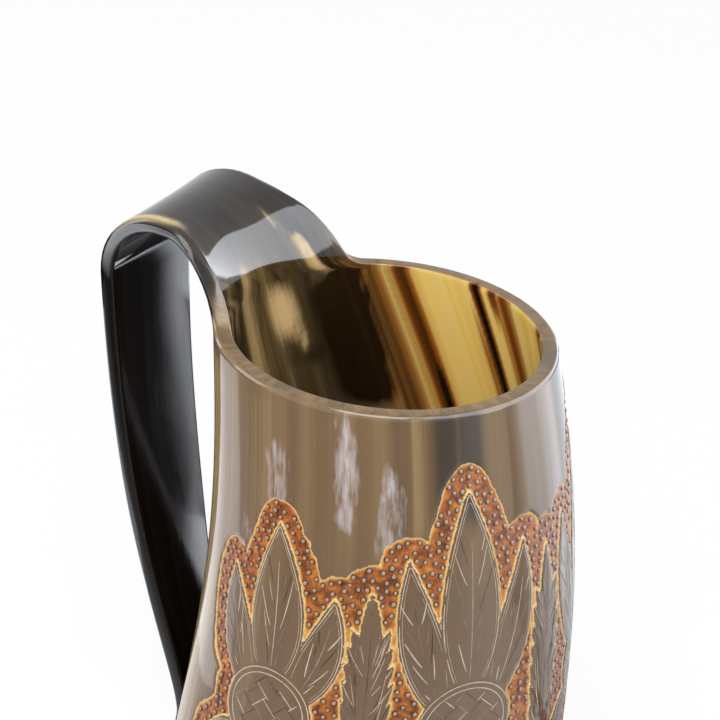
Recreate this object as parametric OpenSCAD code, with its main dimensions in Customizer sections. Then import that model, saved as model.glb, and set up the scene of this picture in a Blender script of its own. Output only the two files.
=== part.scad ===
// Drinking cup of natural horn, standing on the horn's wide end.
// A strip left on at the mouth is bent outward, over and down to make the handle,
// so the cup and its handle are one piece. A turned wooden disc closes the wide end.
// The handle points along -X and the front of the cup along +X. Millimetres.

/* [Cup] */
// Height of the mouth's centre above the base
cup_height = 146; // [120:1:180]
// Outside diameter of the mouth, the horn's narrow end
mouth_d = 88.5; // [74:0.5:100]
// Outside diameter of the base, the horn's wide end
base_d = 109; // [98:0.5:120]
// How far the mouth's centre stands forward of the base's centre
mouth_shift = 7; // [3:0.2:11]
// How far the horn's axis bows forward of a straight line
axis_bow = 6; // [3:0.2:9]
// Where the bow is greatest, as a share of the cup's height
bow_peak_share = 0.56; // [0.5:0.01:0.6]
// Forward slope of the sawn mouth, in degrees
mouth_tilt = 4.2; // [0:0.1:8]
// Wall thickness at the mouth and along the handle strip
mouth_wall = 4.5; // [3.6:0.1:5.4]
// Wall thickness at the base
base_wall = 5.6; // [5:0.1:7]
// Rounding of the mouth's and the strip's outer edge
edge_round = 1.5; // [0.8:0.1:1.8]
// Easing of the mouth's and the strip's inner edge
edge_ease = 0.5; // [0.2:0.1:1]
// Bevel of the base's outer edge
base_bevel = 1.2; // [0.5:0.1:2.5]

/* [Handle strip] */
// Width of the strip over the arch
arch_width = 38.5; // [32:0.5:42]
// Width of the strip at its lower end
foot_width = 18; // [17:0.5:24]
// How much wider the strip's root is than the arch, on each side
root_flare = 10; // [6:0.5:12]
// Length over which the strip narrows from its root
flare_length = 24.5; // [18:0.5:30]
// Radius of the hollow corner where the mouth meets the strip's edge
root_fillet = 4; // [2:0.5:6]
// Straight rise from the mouth to the start of the arch
arch_rise = 0.4; // [0:0.1:6]
// Bending radius of the arch at the middle of the wall
arch_radius = 17.8; // [15:0.1:21]
// How far the front edge is pressed in, and the back edge out, at the arch's outer end
arch_twist = 1.5; // [0:0.1:3]
// Depth of the hollow across the grip's outer face
grip_hollow = 0.8; // [0:0.1:2]
// Pull of the arch on the upper leg: larger keeps the leg upright for longer
leg_upper_pull = 82; // [60:1:95]
// Pull of the foot on the lower leg
leg_lower_pull = 12; // [10:1:20]
// Length of the foot that lies against the wall
foot_length = 10; // [9:0.5:14]
// Height of the foot's lower end above the base
foot_height = 2.5; // [1:0.1:4]
// Glue line between the foot and the wall
foot_gap = 0.2; // [0.1:0.05:0.4]
// Corner radius of the foot's end
foot_corner = 4.5; // [3:0.5:6]

/* [Base disc] */
// Thickness of the wooden disc let into the wide end
disc_thickness = 12; // [10:0.5:15]
// How far the turned seat bites into the natural wall
seat_bite = 0.2; // [0.1:0.05:0.5]
// Clearance of the disc in its seat
disc_clearance = 0.05; // [0.02:0.01:0.15]
// Chamfer of the disc's lower edge
disc_chamfer = 0.6; // [0.2:0.1:1]
// Height of the resin bead round the disc, inside the cup
bead_height = 2.6; // [1.5:0.1:4]
// Width of the resin bead on the disc
bead_width = 2.6; // [1.5:0.1:4]

/* [Pins and pegs] */
// Diameter of the pins that hold the foot, and of the pegs that hold the disc
pin_d = 3; // [2:0.1:3.6]
// Distance between the two pins of the foot
pin_pitch = 8; // [7:0.2:9]
// Height of the pins and pegs above the base
pin_height = 7.5; // [6.5:0.1:8]
// How deep the pins and pegs reach into the disc
pin_depth = 9; // [6:0.5:14]
// How far the domed heads stand proud
pin_proud = 0.5; // [0.3:0.1:0.8]
// Bevel of the tips of the pins and pegs
pin_bevel = 0.5; // [0.2:0.1:0.8]
// Clearance round a pin or peg
pin_clearance = 0.05; // [0.02:0.01:0.1]
// Directions of the pegs round the base, in degrees from the front
peg_directions = [-90, 0, 90];

/* [Hidden] */

// Overrun of a cut past the face that it opens
overrun = 1;
// Fineness of round parts
$fn = 96;
// Steps of the mesh: up the wall, round it, across the strip, and along its stretches
wall_rows = 12;
wall_columns = 56;
strip_columns = 14;
fillet_rows = 4;
arch_rows = 16;
leg_rows = 20;
foot_rows = 4;
corner_rows = 4;

mouth_r = mouth_d / 2;
base_r = base_d / 2;
mouth_drop = tan(mouth_tilt) * mouth_r;
bow_power = ln(0.5) / ln(bow_peak_share);

// Smooth step from 0 to 1 as t runs from 0 to 1
function ease(t) = let (c = min(1, max(0, t))) c * c * (3 - 2 * c);
function mix(a, b, t) = a + (b - a) * t;
function unit(v) = v / norm(v);

// The horn's axis, outside radius and wall at a height
function axis_x(z) = let (u = z / cup_height) mouth_shift * u + axis_bow * sin(180 * pow(u, bow_power));
function outer_r(z) = mix(base_r, mouth_r, z / cup_height);
function wall_at(z) = mix(base_wall, mouth_wall, min(1, z / cup_height));

// A point of the wall: inset is how far inside the outer surface it lies
function wall_point(angle, z, inset) =
    [axis_x(z) + (outer_r(z) - inset) * cos(angle), (outer_r(z) - inset) * sin(angle), z];

// Height of the mouth's sawn plane over a direction, and of the wall's last row below its rounding
function mouth_z(angle) = cup_height - mouth_drop * cos(angle);
function last_row_z(angle) = mouth_z(angle) - edge_round;

// Directions of the mesh columns: across the strip's root first, then round the front
root_half = arch_width / 2 + root_flare + root_fillet - edge_round;
root_angle = asin(root_half / (mouth_r - mouth_wall / 2));
columns = strip_columns + wall_columns;
function column_angle(c) = c <= strip_columns
    ? 180 - root_angle + 2 * root_angle * c / strip_columns
    : 180 + root_angle + (360 - 2 * root_angle) * (c - strip_columns) / wall_columns;

// Heights of a column's rows, from the base's bevel up to the last row
function row_z(row, angle) = mix(base_bevel, last_row_z(angle), row / wall_rows);

// The strip's path at the middle of its wall, in the XZ plane
half_wall = mouth_wall / 2;
root_z = last_row_z(180);
root_x = axis_x(root_z) - outer_r(root_z) + half_wall;
arch_length = arch_rise + edge_round + PI * arch_radius;
arch_end = [root_x - 2 * arch_radius, root_z + arch_rise + edge_round];

// The foot lies along the wall, off it by half its own thickness and the glue line
function back_wall(z) = [axis_x(z) - outer_r(z), z];
foot_top_z = foot_height + foot_length;
foot_run = unit(back_wall(foot_height) - back_wall(foot_top_z));
foot_away = [foot_run[1], -foot_run[0]];
foot_offset = half_wall + foot_gap;
foot_start = back_wall(foot_top_z) + foot_away * foot_offset;
leg_length = norm(foot_start - arch_end);
strip_length = arch_length + leg_length + foot_length;

// Points and directions of the leg, a curve that leaves the arch straight down
// and meets the foot along the wall
leg_pull = [[0, -leg_upper_pull], -foot_run * leg_lower_pull];
function leg_point(t) = pow(1 - t, 3) * arch_end + 3 * pow(1 - t, 2) * t * (arch_end + leg_pull[0])
    + 3 * (1 - t) * t * t * (foot_start + leg_pull[1]) + pow(t, 3) * foot_start;
function leg_run(t) = unit(pow(1 - t, 2) * leg_pull[0]
    + 2 * (1 - t) * t * (foot_start + leg_pull[1] - arch_end - leg_pull[0]) - t * t * leg_pull[1]);

// Where the path is, and which way it runs, at a distance from the root
function path_point(s) =
    s <= arch_rise + edge_round ? [root_x, root_z + s]
    : s <= arch_length ? let (a = arch_turn(s))
        [root_x - arch_radius * (1 - cos(a)), arch_end[1] + arch_radius * sin(a)]
    : s <= arch_length + leg_length ? leg_point((s - arch_length) / leg_length)
    : foot_start + foot_run * (s - arch_length - leg_length);
function arch_turn(s) = (s - arch_rise - edge_round) / arch_radius * 180 / PI;
function path_run(s) =
    s <= arch_rise + edge_round ? [0, 1]
    : s <= arch_length ? let (a = arch_turn(s)) [-sin(a), cos(a)]
    : s <= arch_length + leg_length ? leg_run((s - arch_length) / leg_length)
    : foot_run;

// Half the strip's width at the mesh's last column, inside the rounded edge. The strip flares
// at its root and narrows down the leg
flare_power = 1.3;
narrowing_power = 1.15;
function half_width(s) =
    let (down = max(0, s - arch_length) / (strip_length - arch_length),
         plain = mix(arch_width, foot_width, pow(sin(90 * min(1, down)), narrowing_power)) / 2
             - edge_round,
         flare = root_flare * pow(1 - min(1, s / flare_length), flare_power),
         from_root = max(0, root_fillet - s),
         from_corner = max(0, s - strip_length + foot_corner))
    plain + flare + root_fillet - sqrt(root_fillet * root_fillet - from_root * from_root)
        - foot_corner + sqrt(foot_corner * foot_corner - from_corner * from_corner);

// Curvature across the strip: the horn's own at the root, flat over the crest,
// hollow outward along the grip and flat again at the foot
root_curvature = 1 / (mouth_r - half_wall);
grip_curvature = 8 * grip_hollow / (arch_width * arch_width);
crest_s = arch_length / 2;
foot_flat_s = strip_length - 2 * foot_length;
function cross_curvature(s) = root_curvature * (1 - ease(s / crest_s))
    + grip_curvature * ease((s - crest_s) / crest_s) * (1 - ease((s - foot_flat_s) / foot_length));

// A point of the strip; side is -1 on the outside of the horn and +1 on the inside
function strip_formula(s, across, side) =
    let (at = path_point(s), run = path_run(s), y = across * half_width(s),
         k = cross_curvature(s), lean = asin(k * y),
         sag = k * y * y / (1 + cos(lean)),
         twist = -arch_twist * across * pow(sin(180 * min(1, s / arch_length / 2)), 2),
         lift = sag - twist + side * half_wall * cos(lean))
    [at[0] + run[1] * lift, y - side * half_wall * sin(lean), at[1] - run[0] * lift];

// Across the strip, the mesh columns stand over those of the wall
function column_across(c) = sin(180 - column_angle(c)) / sin(root_angle);

// Near the root the strip is drawn onto the wall's own last row
function strip_point(s, c, side) =
    let (angle = column_angle(c), inset = side < 0 ? 0 : mouth_wall, across = column_across(c),
         fault = wall_point(angle, last_row_z(angle), inset) - strip_formula(0, across, side))
    strip_formula(s, across, side) + fault * pow(1 - min(1, s / flare_length), 2);

// Distances from the root of the strip's rows
foot_corner_s = strip_length - foot_corner;
leg_end_s = arch_length + leg_length;
strip_s = concat(
    [for (i = [1:fillet_rows]) root_fillet * (1 - cos(90 * i / fillet_rows))],
    [for (i = [1:arch_rows]) mix(root_fillet, arch_length, i / arch_rows)],
    [for (i = [1:leg_rows]) mix(arch_length, leg_end_s, i / leg_rows)],
    [for (i = [1:foot_rows]) mix(leg_end_s, foot_corner_s, i / foot_rows)],
    [for (i = [1:corner_rows]) foot_corner_s + foot_corner * sin(90 * i / corner_rows)]);
strip_rows = len(strip_s);

// Points of one side of the sheet of horn: the wall's rows, then the strip's
function sheet_points(side) = let (inset = side < 0 ? 0 : 1) concat(
    [for (c = [0:columns - 1]) wall_point(column_angle(c), 0, inset * base_wall
        + (1 - inset) * base_bevel)],
    [for (row = [0:wall_rows], c = [0:columns - 1]) let (z = row_z(row, column_angle(c)))
        wall_point(column_angle(c), z, inset * wall_at(z))],
    [for (s = strip_s, c = [0:strip_columns]) strip_point(s, c, side)]);
wall_count = (wall_rows + 2) * columns;
sheet_count = wall_count + strip_rows * (strip_columns + 1);
function wall_index(row, c) = row * columns + c % columns;
function strip_index(row, c) = row == 0 ? wall_index(wall_rows + 1, c)
    : wall_count + (row - 1) * (strip_columns + 1) + c;

// The free edge of the sheet: round the mouth, up one edge of the strip,
// across its end and down the other
edge_indices = concat(
    [for (c = [strip_columns:columns]) wall_index(wall_rows + 1, c)],
    [for (row = [1:strip_rows]) strip_index(row, 0)],
    [for (c = [1:strip_columns - 1]) strip_index(strip_rows, c)],
    [for (row = [strip_rows:-1:1]) strip_index(row, strip_columns)]);
edge_count = len(edge_indices);

// Section of the rounded edge, as [out of the edge, across the wall from its outside]
function edge_section(wall) = let (q = sin(45)) [
    [edge_round * q, edge_round * (1 - q)],
    [edge_round, edge_round],
    [edge_round, wall - edge_ease],
    [edge_round - edge_ease * (1 - q), wall - edge_ease * (1 - q)],
    [edge_round - edge_ease, wall]];
section_count = len(edge_section(mouth_wall));

// Points of the rounded edge, one section after another
function edge_points(outer, inner) =
    let (middle = [for (i = edge_indices) (outer[i] + inner[i]) / 2])
    [for (e = [0:edge_count - 1])
        let (i = edge_indices[e], through = unit(inner[i] - outer[i]),
             along = middle[(e + 1) % edge_count] - middle[(e + edge_count - 1) % edge_count],
             away = unit(cross(along, through)))
        for (p = edge_section(norm(inner[i] - outer[i]))) outer[i] + away * p[0] + through * p[1]];

// Triangles of a four-sided cell, seen from outside in the order lower left, upper left,
// upper right, lower right
function cell(a, b, c, d) = [[a, b, c], [a, c, d]];
function flip(faces) = [for (f = faces) [f[2], f[1], f[0]]];
function sheet_faces() = concat(
    [for (row = [0:wall_rows], c = [0:columns - 1], f = cell(wall_index(row, c),
        wall_index(row + 1, c), wall_index(row + 1, c + 1), wall_index(row, c + 1))) f],
    [for (row = [0:strip_rows - 1], c = [0:strip_columns - 1], f = cell(strip_index(row, c),
        strip_index(row + 1, c), strip_index(row + 1, c + 1), strip_index(row, c + 1))) f]);
function shifted(faces, by) = [for (f = faces) [for (i = f) i + by]];

// Row p of the rounded edge: the outer sheet's own edge, the section's points, the inner sheet's
function edge_index(e, p) = let (at = e % edge_count)
    p == 0 ? edge_indices[at]
    : p <= section_count ? 2 * sheet_count + at * section_count + p - 1
    : sheet_count + edge_indices[at];
function edge_faces() = [for (e = [0:edge_count - 1], p = [0:section_count],
    f = cell(edge_index(e, p), edge_index(e, p + 1), edge_index(e + 1, p + 1), edge_index(e + 1, p))) f];
function base_faces() = [for (c = [0:columns - 1], f = cell(sheet_count + wall_index(0, c),
    wall_index(0, c), wall_index(0, c + 1), sheet_count + wall_index(0, c + 1))) f];

// The seat turned in the wide end takes in the natural wall's inside over the disc's thickness
seat_x = axis_x(disc_thickness) / 2;
seat_r = base_r - base_wall + seat_x + seat_bite;
disc_r = seat_r - disc_clearance;
disc_top = disc_thickness - disc_clearance;

// The pins and pegs start on the face that they go through and end in the disc
pin_r = pin_d / 2;
pin_bore_r = pin_r + pin_clearance;
disc_edge_x = sqrt(disc_r * disc_r - pin_pitch * pin_pitch / 4) - seat_x;
pin_tip_x = disc_edge_x - pin_depth;
foot_face = back_wall(pin_height) + foot_away * (foot_offset + half_wall);
pin_head_x = -foot_face[0];
function peg_head(direction) = outer_r(pin_height) + axis_x(pin_height) * cos(direction);
function peg_tip(direction) = disc_r + seat_x * cos(direction) - pin_depth;

module horn_body() {
    outer = sheet_points(-1);
    inner = sheet_points(1);
    color("#8c7a66")
    difference() {
        polyhedron(
            points = concat(outer, inner, edge_points(outer, inner)),
            faces = concat(sheet_faces(), shifted(flip(sheet_faces()), sheet_count), edge_faces(),
                base_faces()),
            convexity = 12);
        translate([seat_x, 0, -overrun])
            cylinder(r = seat_r, h = disc_thickness + overrun);
        pin_places() bore(pin_head_x + overrun + pin_proud, seat_r - seat_x - overrun);
        peg_places() bore(base_r + seat_x + overrun, seat_r - seat_x - overrun);
    }
}

// A bore along +X between two distances from the axis
module bore(far, near) {
    translate([near, 0, 0]) rotate([0, 90, 0]) cylinder(r = pin_bore_r, h = far - near);
}

// Places of the two pins through the foot, each with +X pointing out to the back
module pin_places() {
    for (side = [-1, 1])
        translate([0, side * pin_pitch / 2, pin_height]) rotate([0, 0, 180]) children();
}

// Places of the pegs round the base, each with +X pointing outward
module peg_places() {
    for ($direction = peg_directions)
        translate([0, 0, pin_height]) rotate([0, 0, $direction]) children();
}

// A pin along +X from its tip to its domed head
module pin(tip, head) {
    length = head - tip;
    translate([tip, 0, 0]) rotate([0, 90, 0]) rotate_extrude()
        polygon(concat([[0, 0], [pin_r - pin_bevel, 0], [pin_r, pin_bevel]],
            [for (a = [0:15:90]) [pin_r * cos(a), length + pin_proud * sin(a)]]));
}

module base_disc() {
    color("#6b4a2f")
    difference() {
        translate([seat_x, 0, 0]) rotate_extrude()
            polygon([[0, 0], [disc_r - disc_chamfer, 0], [disc_r, disc_chamfer], [disc_r, disc_top],
                [0, disc_top]]);
        pin_places() bore(base_r + overrun, pin_tip_x - pin_clearance);
        peg_places() bore(base_r + overrun, peg_tip($direction) - pin_clearance);
    }
}

// The resin bead fills the corner between the disc and the wall
module base_bead() {
    z = [disc_top + disc_clearance, disc_top + disc_clearance, disc_top + disc_clearance + bead_height];
    inset = [disc_clearance, bead_width, disc_clearance];
    bead_points = [for (p = [0:2], c = [0:columns - 1])
        wall_point(column_angle(c), z[p], wall_at(z[p]) + inset[p])];
    color("#3a2a1c")
    polyhedron(points = bead_points, faces = [for (p = [0:2], c = [0:columns - 1],
        f = cell(p * columns + c, (p + 1) % 3 * columns + c, (p + 1) % 3 * columns + (c + 1) % columns,
            p * columns + (c + 1) % columns)) f]);
}

module handle_pins() {
    color("#c9a15a")
    pin_places() pin(pin_tip_x, pin_head_x);
}

module base_pegs() {
    color("#c9a15a")
    peg_places() pin(peg_tip($direction), peg_head($direction));
}

horn_body();
base_disc();
base_bead();
handle_pins();
base_pegs();
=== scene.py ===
import logging
import math
from dataclasses import dataclass, replace
from enum import Enum

import bpy
import numpy as np
from mathutils import Matrix, Vector


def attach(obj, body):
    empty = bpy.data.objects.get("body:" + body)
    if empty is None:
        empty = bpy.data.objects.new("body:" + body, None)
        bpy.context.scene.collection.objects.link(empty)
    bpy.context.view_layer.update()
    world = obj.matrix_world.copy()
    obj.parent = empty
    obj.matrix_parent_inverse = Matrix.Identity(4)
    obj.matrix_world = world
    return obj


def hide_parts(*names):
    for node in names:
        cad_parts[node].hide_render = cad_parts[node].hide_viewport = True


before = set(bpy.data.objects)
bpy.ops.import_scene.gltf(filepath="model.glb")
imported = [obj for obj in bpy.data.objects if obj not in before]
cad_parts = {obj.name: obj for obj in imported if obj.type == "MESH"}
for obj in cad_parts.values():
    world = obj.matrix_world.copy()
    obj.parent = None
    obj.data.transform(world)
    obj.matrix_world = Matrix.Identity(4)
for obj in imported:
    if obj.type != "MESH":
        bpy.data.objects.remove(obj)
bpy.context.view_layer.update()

log = logging.getLogger("horn_cup")

Array = np.ndarray
Rng = np.random.Generator
Material = bpy.types.Material
Node = bpy.types.Node
Socket = bpy.types.NodeSocket
Tree = bpy.types.NodeTree
Ramp = tuple[tuple[float, str], ...]
Line = tuple[Array, float, float]

MM = 0.001
ROOT = "root"
HORN_IOR = 1.54
WHITE = (1.0, 1.0, 1.0, 1.0)
# Angle between two faces over which their edge is shaded sharp
SHARP = math.radians(55.0)


def linear(hex_colour: str) -> tuple[float, float, float, float]:
    """Turns an sRGB hex colour into Blender's linear colour.

    Args:
        hex_colour: Colour as "#rrggbb".

    Returns:
        Linear red, green, blue and an alpha of 1.
    """
    parts = [int(hex_colour[i:i + 2], 16) / 255 for i in (1, 3, 5)]
    channels = [p / 12.92 if p <= 0.04045 else ((p + 0.055) / 1.055) ** 2.4 for p in parts]
    return channels[0], channels[1], channels[2], 1.0


def add(tree: Tree, kind: str, inputs: dict | None = None, stops: Ramp = (), **settings) -> Node:
    """Adds one node with its settings, values and links.

    Args:
        tree: Tree that takes the node.
        kind: Blender's type name of the node, without its leading ShaderNode.
        inputs: For each input, by name or number, its value, its hex colour, the socket that feeds
            it, or the node whose first shown output feeds it.
        stops: Positions and hex colours, for a colour ramp.
        **settings: Properties of the node itself.

    Returns:
        The new node.
    """
    node = tree.nodes.new("ShaderNode" + kind)
    for name, value in settings.items():
        setattr(node, name, value)
    for key, value in (inputs or {}).items():
        if isinstance(value, Node):
            value = next(output for output in value.outputs if output.enabled)
        if isinstance(value, Socket):
            tree.links.new(value, node.inputs[key])
        else:
            node.inputs[key].default_value = linear(value) if isinstance(value, str) else value
    if stops:
        ramp = node.color_ramp
        while len(ramp.elements) < len(stops):
            ramp.elements.new(1.0)
        for element, (position, colour) in zip(ramp.elements, stops):
            element.position, element.color = position, linear(colour)
    return node


def bare_tree(owner: Material | bpy.types.World) -> Tree:
    """Empties the node tree of a material or world.

    Args:
        owner: The material or world.

    Returns:
        Its empty tree.
    """
    owner.use_nodes = True
    owner.node_tree.nodes.clear()
    return owner.node_tree


def finish_of(name: str) -> tuple[Material, Tree]:
    """Starts a finish as a material with an empty node tree."""
    material = bpy.data.materials.new(name)
    return material, bare_tree(material)


def ease(t: Array) -> Array:
    """Smooth step from 0 to 1 as t runs from 0 to 1."""
    c = np.clip(t, 0.0, 1.0)
    return c * c * (3 - 2 * c)


def turn_between(a: Array, b: float) -> Array:
    """Smallest turn from bearing b to the bearings a, in degrees."""
    return (np.asarray(a) - b + 180) % 360 - 180


def waves(x: Array, z: Array, pitch: float, seed: int) -> Array:
    """Sums a few sine waves into a smooth, seeded unevenness between about -1 and 1.

    Args:
        x: First coordinate, in millimetres.
        z: Second coordinate, in millimetres.
        pitch: Typical distance between two humps, in millimetres.
        seed: Seed of the directions and phases.

    Returns:
        The unevenness at each point.
    """
    rng = np.random.default_rng(seed)
    total = np.zeros(np.broadcast(x, z).shape)
    for _ in range(6):
        heading, phase = rng.uniform(0, 2 * np.pi, 2)
        rate = 2 * np.pi / (pitch * rng.uniform(0.7, 1.6))
        total = total + np.sin(rate * (x * np.cos(heading) + z * np.sin(heading)) + phase)
    return total / 3


def cells(grid: Array) -> list[tuple[int, ...]]:
    """Four-sided faces of a grid of vertex numbers, or of a stack of grids."""
    corners = (grid[..., :-1, :-1], grid[..., :-1, 1:], grid[..., 1:, 1:], grid[..., 1:, :-1])
    return [tuple(face) for face in np.stack(corners, -1).reshape(-1, 4).tolist()]


def put_in_scene(name: str, data: bpy.types.ID) -> bpy.types.Object:
    """Makes an object of a mesh, lamp or camera and links it into the scene.

    Args:
        name: Name of the object.
        data: Its mesh, lamp or camera.

    Returns:
        The new object.
    """
    made = bpy.data.objects.new(name, data)
    bpy.context.scene.collection.objects.link(made)
    return made


def make_object(name: str, points: Array, faces: list, material: Material,
                attributes: dict[str, Array]) -> bpy.types.Object:
    """Makes a smooth mesh object from points in millimetres.

    Args:
        name: Name of the piece.
        points: One row of x, y, z for each vertex, in millimetres.
        faces: Vertex numbers of each face.
        material: Finish of the piece.
        attributes: Values of each named attribute, one number or vector a vertex.

    Returns:
        The new object, linked into the scene.
    """
    mesh = bpy.data.meshes.new(name)
    mesh.from_pydata((points * MM).tolist(), [], faces)
    mesh.update()
    mesh.shade_smooth()
    mesh.set_sharp_from_angle(angle=SHARP)
    for key, values in attributes.items():
        kind, slot = ("FLOAT_VECTOR", "vector") if values.ndim == 2 else ("FLOAT", "value")
        layer = mesh.attributes.new(key, kind, "POINT")
        layer.data.foreach_set(slot, values.astype(np.float32).ravel())
    mesh.materials.append(material)
    return put_in_scene(name, mesh)


class Face(Enum):
    """The two natural faces of the sheet of horn."""

    OUTSIDE = -1
    INSIDE = 1


class Tone(Enum):
    """What a streak in the horn is, as the name of the mesh attribute that holds it."""

    SMOKE = "smoke"
    PALE = "pale"
    SLATE = "slate"
    DARK = "dark"
    FROST = "frost"


class Axis(Enum):
    """The axis that a flat thing stands square to, as its place in x, y, z."""

    X = 0
    Y = 1
    Z = 2


@dataclass(frozen=True)
class HornShape:
    """Sizes and curves of the bent horn, in millimetres and degrees, as the CAD part has them."""

    cup_height: float = 146.0
    mouth_d: float = 88.5
    base_d: float = 109.0
    mouth_shift: float = 7.0
    axis_bow: float = 6.0
    bow_peak_share: float = 0.56
    mouth_tilt: float = 4.2
    mouth_wall: float = 4.5
    base_wall: float = 5.6
    edge_round: float = 1.5
    edge_ease: float = 0.5
    base_bevel: float = 1.2
    arch_width: float = 38.5
    foot_width: float = 18.0
    root_flare: float = 10.0
    flare_length: float = 24.5
    root_fillet: float = 4.0
    arch_rise: float = 0.4
    arch_radius: float = 17.8
    arch_twist: float = 1.5
    grip_hollow: float = 0.8
    leg_upper_pull: float = 82.0
    leg_lower_pull: float = 12.0
    foot_length: float = 10.0
    foot_height: float = 2.5
    foot_gap: float = 0.2
    foot_corner: float = 4.5
    flare_power: float = 1.3
    narrowing_power: float = 1.15
    disc_thickness: float = 12.0
    seat_bite: float = 0.2

    def axis_x(self, z: Array) -> Array:
        """Forward place of the horn's axis at a height.

        Args:
            z: Height above the base.

        Returns:
            Place along X.
        """
        u = np.clip(np.asarray(z, float) / self.cup_height, 0.0, None)
        power = math.log(0.5) / math.log(self.bow_peak_share)
        return self.mouth_shift * u + self.axis_bow * np.sin(np.pi * u ** power)

    def outer_r(self, z: Array) -> Array:
        """Outside radius at a height."""
        return self.base_d / 2 + (self.mouth_d - self.base_d) / 2 * np.asarray(z) / self.cup_height

    def wall_at(self, z: Array) -> Array:
        """Thickness of the wall at a height."""
        share = np.minimum(1.0, np.asarray(z) / self.cup_height)
        return self.base_wall + (self.mouth_wall - self.base_wall) * share

    def wall_point(self, bearing: Array, z: Array, inset: Array) -> Array:
        """Places points of the wall.

        Args:
            bearing: Direction from the axis, in degrees from the front.
            z: Height above the base.
            inset: How far inside the outer surface the point lies.

        Returns:
            One x, y, z for each bearing.
        """
        bearing, z, inset = np.broadcast_arrays(np.radians(bearing), z, inset)
        reach = self.outer_r(z) - inset
        return np.stack([self.axis_x(z) + reach * np.cos(bearing), reach * np.sin(bearing), z], -1)

    def last_row_z(self, bearing: Array) -> Array:
        """Height of the wall's last row, where the mouth's rounded edge starts."""
        drop = math.tan(math.radians(self.mouth_tilt)) * self.mouth_d / 2
        return self.cup_height - drop * np.cos(np.radians(bearing)) - self.edge_round

    @property
    def half_wall(self) -> float:
        """Half the thickness of the strip."""
        return self.mouth_wall / 2

    @property
    def root_angle(self) -> float:
        """Half the turn that the strip's root takes of the mouth, in degrees."""
        half = self.arch_width / 2 + self.root_flare + self.root_fillet - self.edge_round
        return math.degrees(math.asin(half / (self.mouth_d / 2 - self.half_wall)))

    def back_wall(self, z: float) -> Array:
        """Point of the wall's outside at the back, in the XZ plane."""
        return np.array([float(self.axis_x(z) - self.outer_r(z)), z])

    @property
    def root(self) -> Array:
        """Where the middle of the strip's thickness starts, in the XZ plane."""
        z = float(self.last_row_z(180.0))
        return self.back_wall(z) + np.array([self.half_wall, 0.0])

    @property
    def rise(self) -> float:
        """Straight stretch of the strip below its arch."""
        return self.arch_rise + self.edge_round

    @property
    def arch_length(self) -> float:
        """Length of the strip up to the arch's outer end."""
        return self.rise + math.pi * self.arch_radius

    @property
    def foot_run(self) -> Array:
        """Direction of the foot down the wall, in the XZ plane."""
        run = self.back_wall(self.foot_height) - self.back_wall(self.foot_height + self.foot_length)
        return run / np.linalg.norm(run)

    @property
    def leg_frame(self) -> tuple[Array, Array, Array, Array]:
        """The four control points of the leg's curve, in the XZ plane.

        Returns:
            The points, from the arch to the foot.
        """
        arch_end = self.root + np.array([-2 * self.arch_radius, self.rise])
        away = np.array([self.foot_run[1], -self.foot_run[0]])
        start = (self.back_wall(self.foot_height + self.foot_length)
                 + away * (self.half_wall + self.foot_gap))
        return (arch_end, arch_end - np.array([0.0, self.leg_upper_pull]),
                start - self.foot_run * self.leg_lower_pull, start)

    @property
    def leg_length(self) -> float:
        """Length that the leg counts for along the strip."""
        return float(np.linalg.norm(self.leg_frame[3] - self.leg_frame[0]))

    @property
    def strip_length(self) -> float:
        """Length of the whole strip."""
        return self.arch_length + self.leg_length + self.foot_length

    def path(self, s: Array) -> tuple[Array, Array]:
        """Follows the strip's middle.

        Args:
            s: Distances from the root.

        Returns:
            Points and unit directions in the XZ plane.
        """
        turn = np.clip((s - self.rise) / self.arch_radius, 0.0, np.pi)
        point = np.stack([
            self.root[0] - self.arch_radius * (1 - np.cos(turn)),
            self.root[1] + np.minimum(s, self.rise) + self.arch_radius * np.sin(turn)], -1)
        run = np.stack([-np.sin(turn), np.cos(turn)], -1)
        a, b, c, d = self.leg_frame
        t = np.clip((s - self.arch_length) / self.leg_length, 0.0, 1.0)[:, None]
        leg = (1 - t) ** 3 * a + 3 * (1 - t) ** 2 * t * b + 3 * (1 - t) * t ** 2 * c + t ** 3 * d
        leg_run = (1 - t) ** 2 * (b - a) + 2 * (1 - t) * t * (c - b) + t ** 2 * (d - c)
        leg_run = leg_run / np.linalg.norm(leg_run, axis=1, keepdims=True)
        foot = np.maximum(0.0, s - self.arch_length - self.leg_length)[:, None]
        beyond = (s > self.arch_length)[:, None]
        return np.where(beyond, leg + foot * self.foot_run, point), np.where(beyond, leg_run, run)

    def half_width(self, s: Array) -> Array:
        """Half the strip's width inside its rounded edge.

        Args:
            s: Distances from the root.

        Returns:
            Half the width at each distance.
        """
        down = np.clip((s - self.arch_length) / (self.strip_length - self.arch_length), 0.0, 1.0)
        narrow = np.sin(np.pi / 2 * down) ** self.narrowing_power
        width = self.arch_width + (self.foot_width - self.arch_width) * narrow
        plain = width / 2 - self.edge_round
        flare = self.root_flare * np.maximum(0.0, 1 - s / self.flare_length) ** self.flare_power
        from_root = np.maximum(0.0, self.root_fillet - s)
        from_corner = np.clip(s - self.strip_length + self.foot_corner, 0.0, self.foot_corner)
        return (plain + flare + self.root_fillet - np.sqrt(self.root_fillet ** 2 - from_root ** 2)
                - self.foot_corner + np.sqrt(self.foot_corner ** 2 - from_corner ** 2))

    def curvature(self, s: Array) -> Array:
        """Curvature across the strip: the horn's own, then flat, then hollow, then flat.

        Args:
            s: Distances from the root.

        Returns:
            One over the radius at each distance.
        """
        crest = self.arch_length / 2
        grip = 8 * self.grip_hollow / self.arch_width ** 2
        foot_flat = self.strip_length - 2 * self.foot_length
        return ((1 - ease(s / crest)) / (self.mouth_d / 2 - self.half_wall)
                + grip * ease((s - crest) / crest) * (1 - ease((s - foot_flat) / self.foot_length)))

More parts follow.
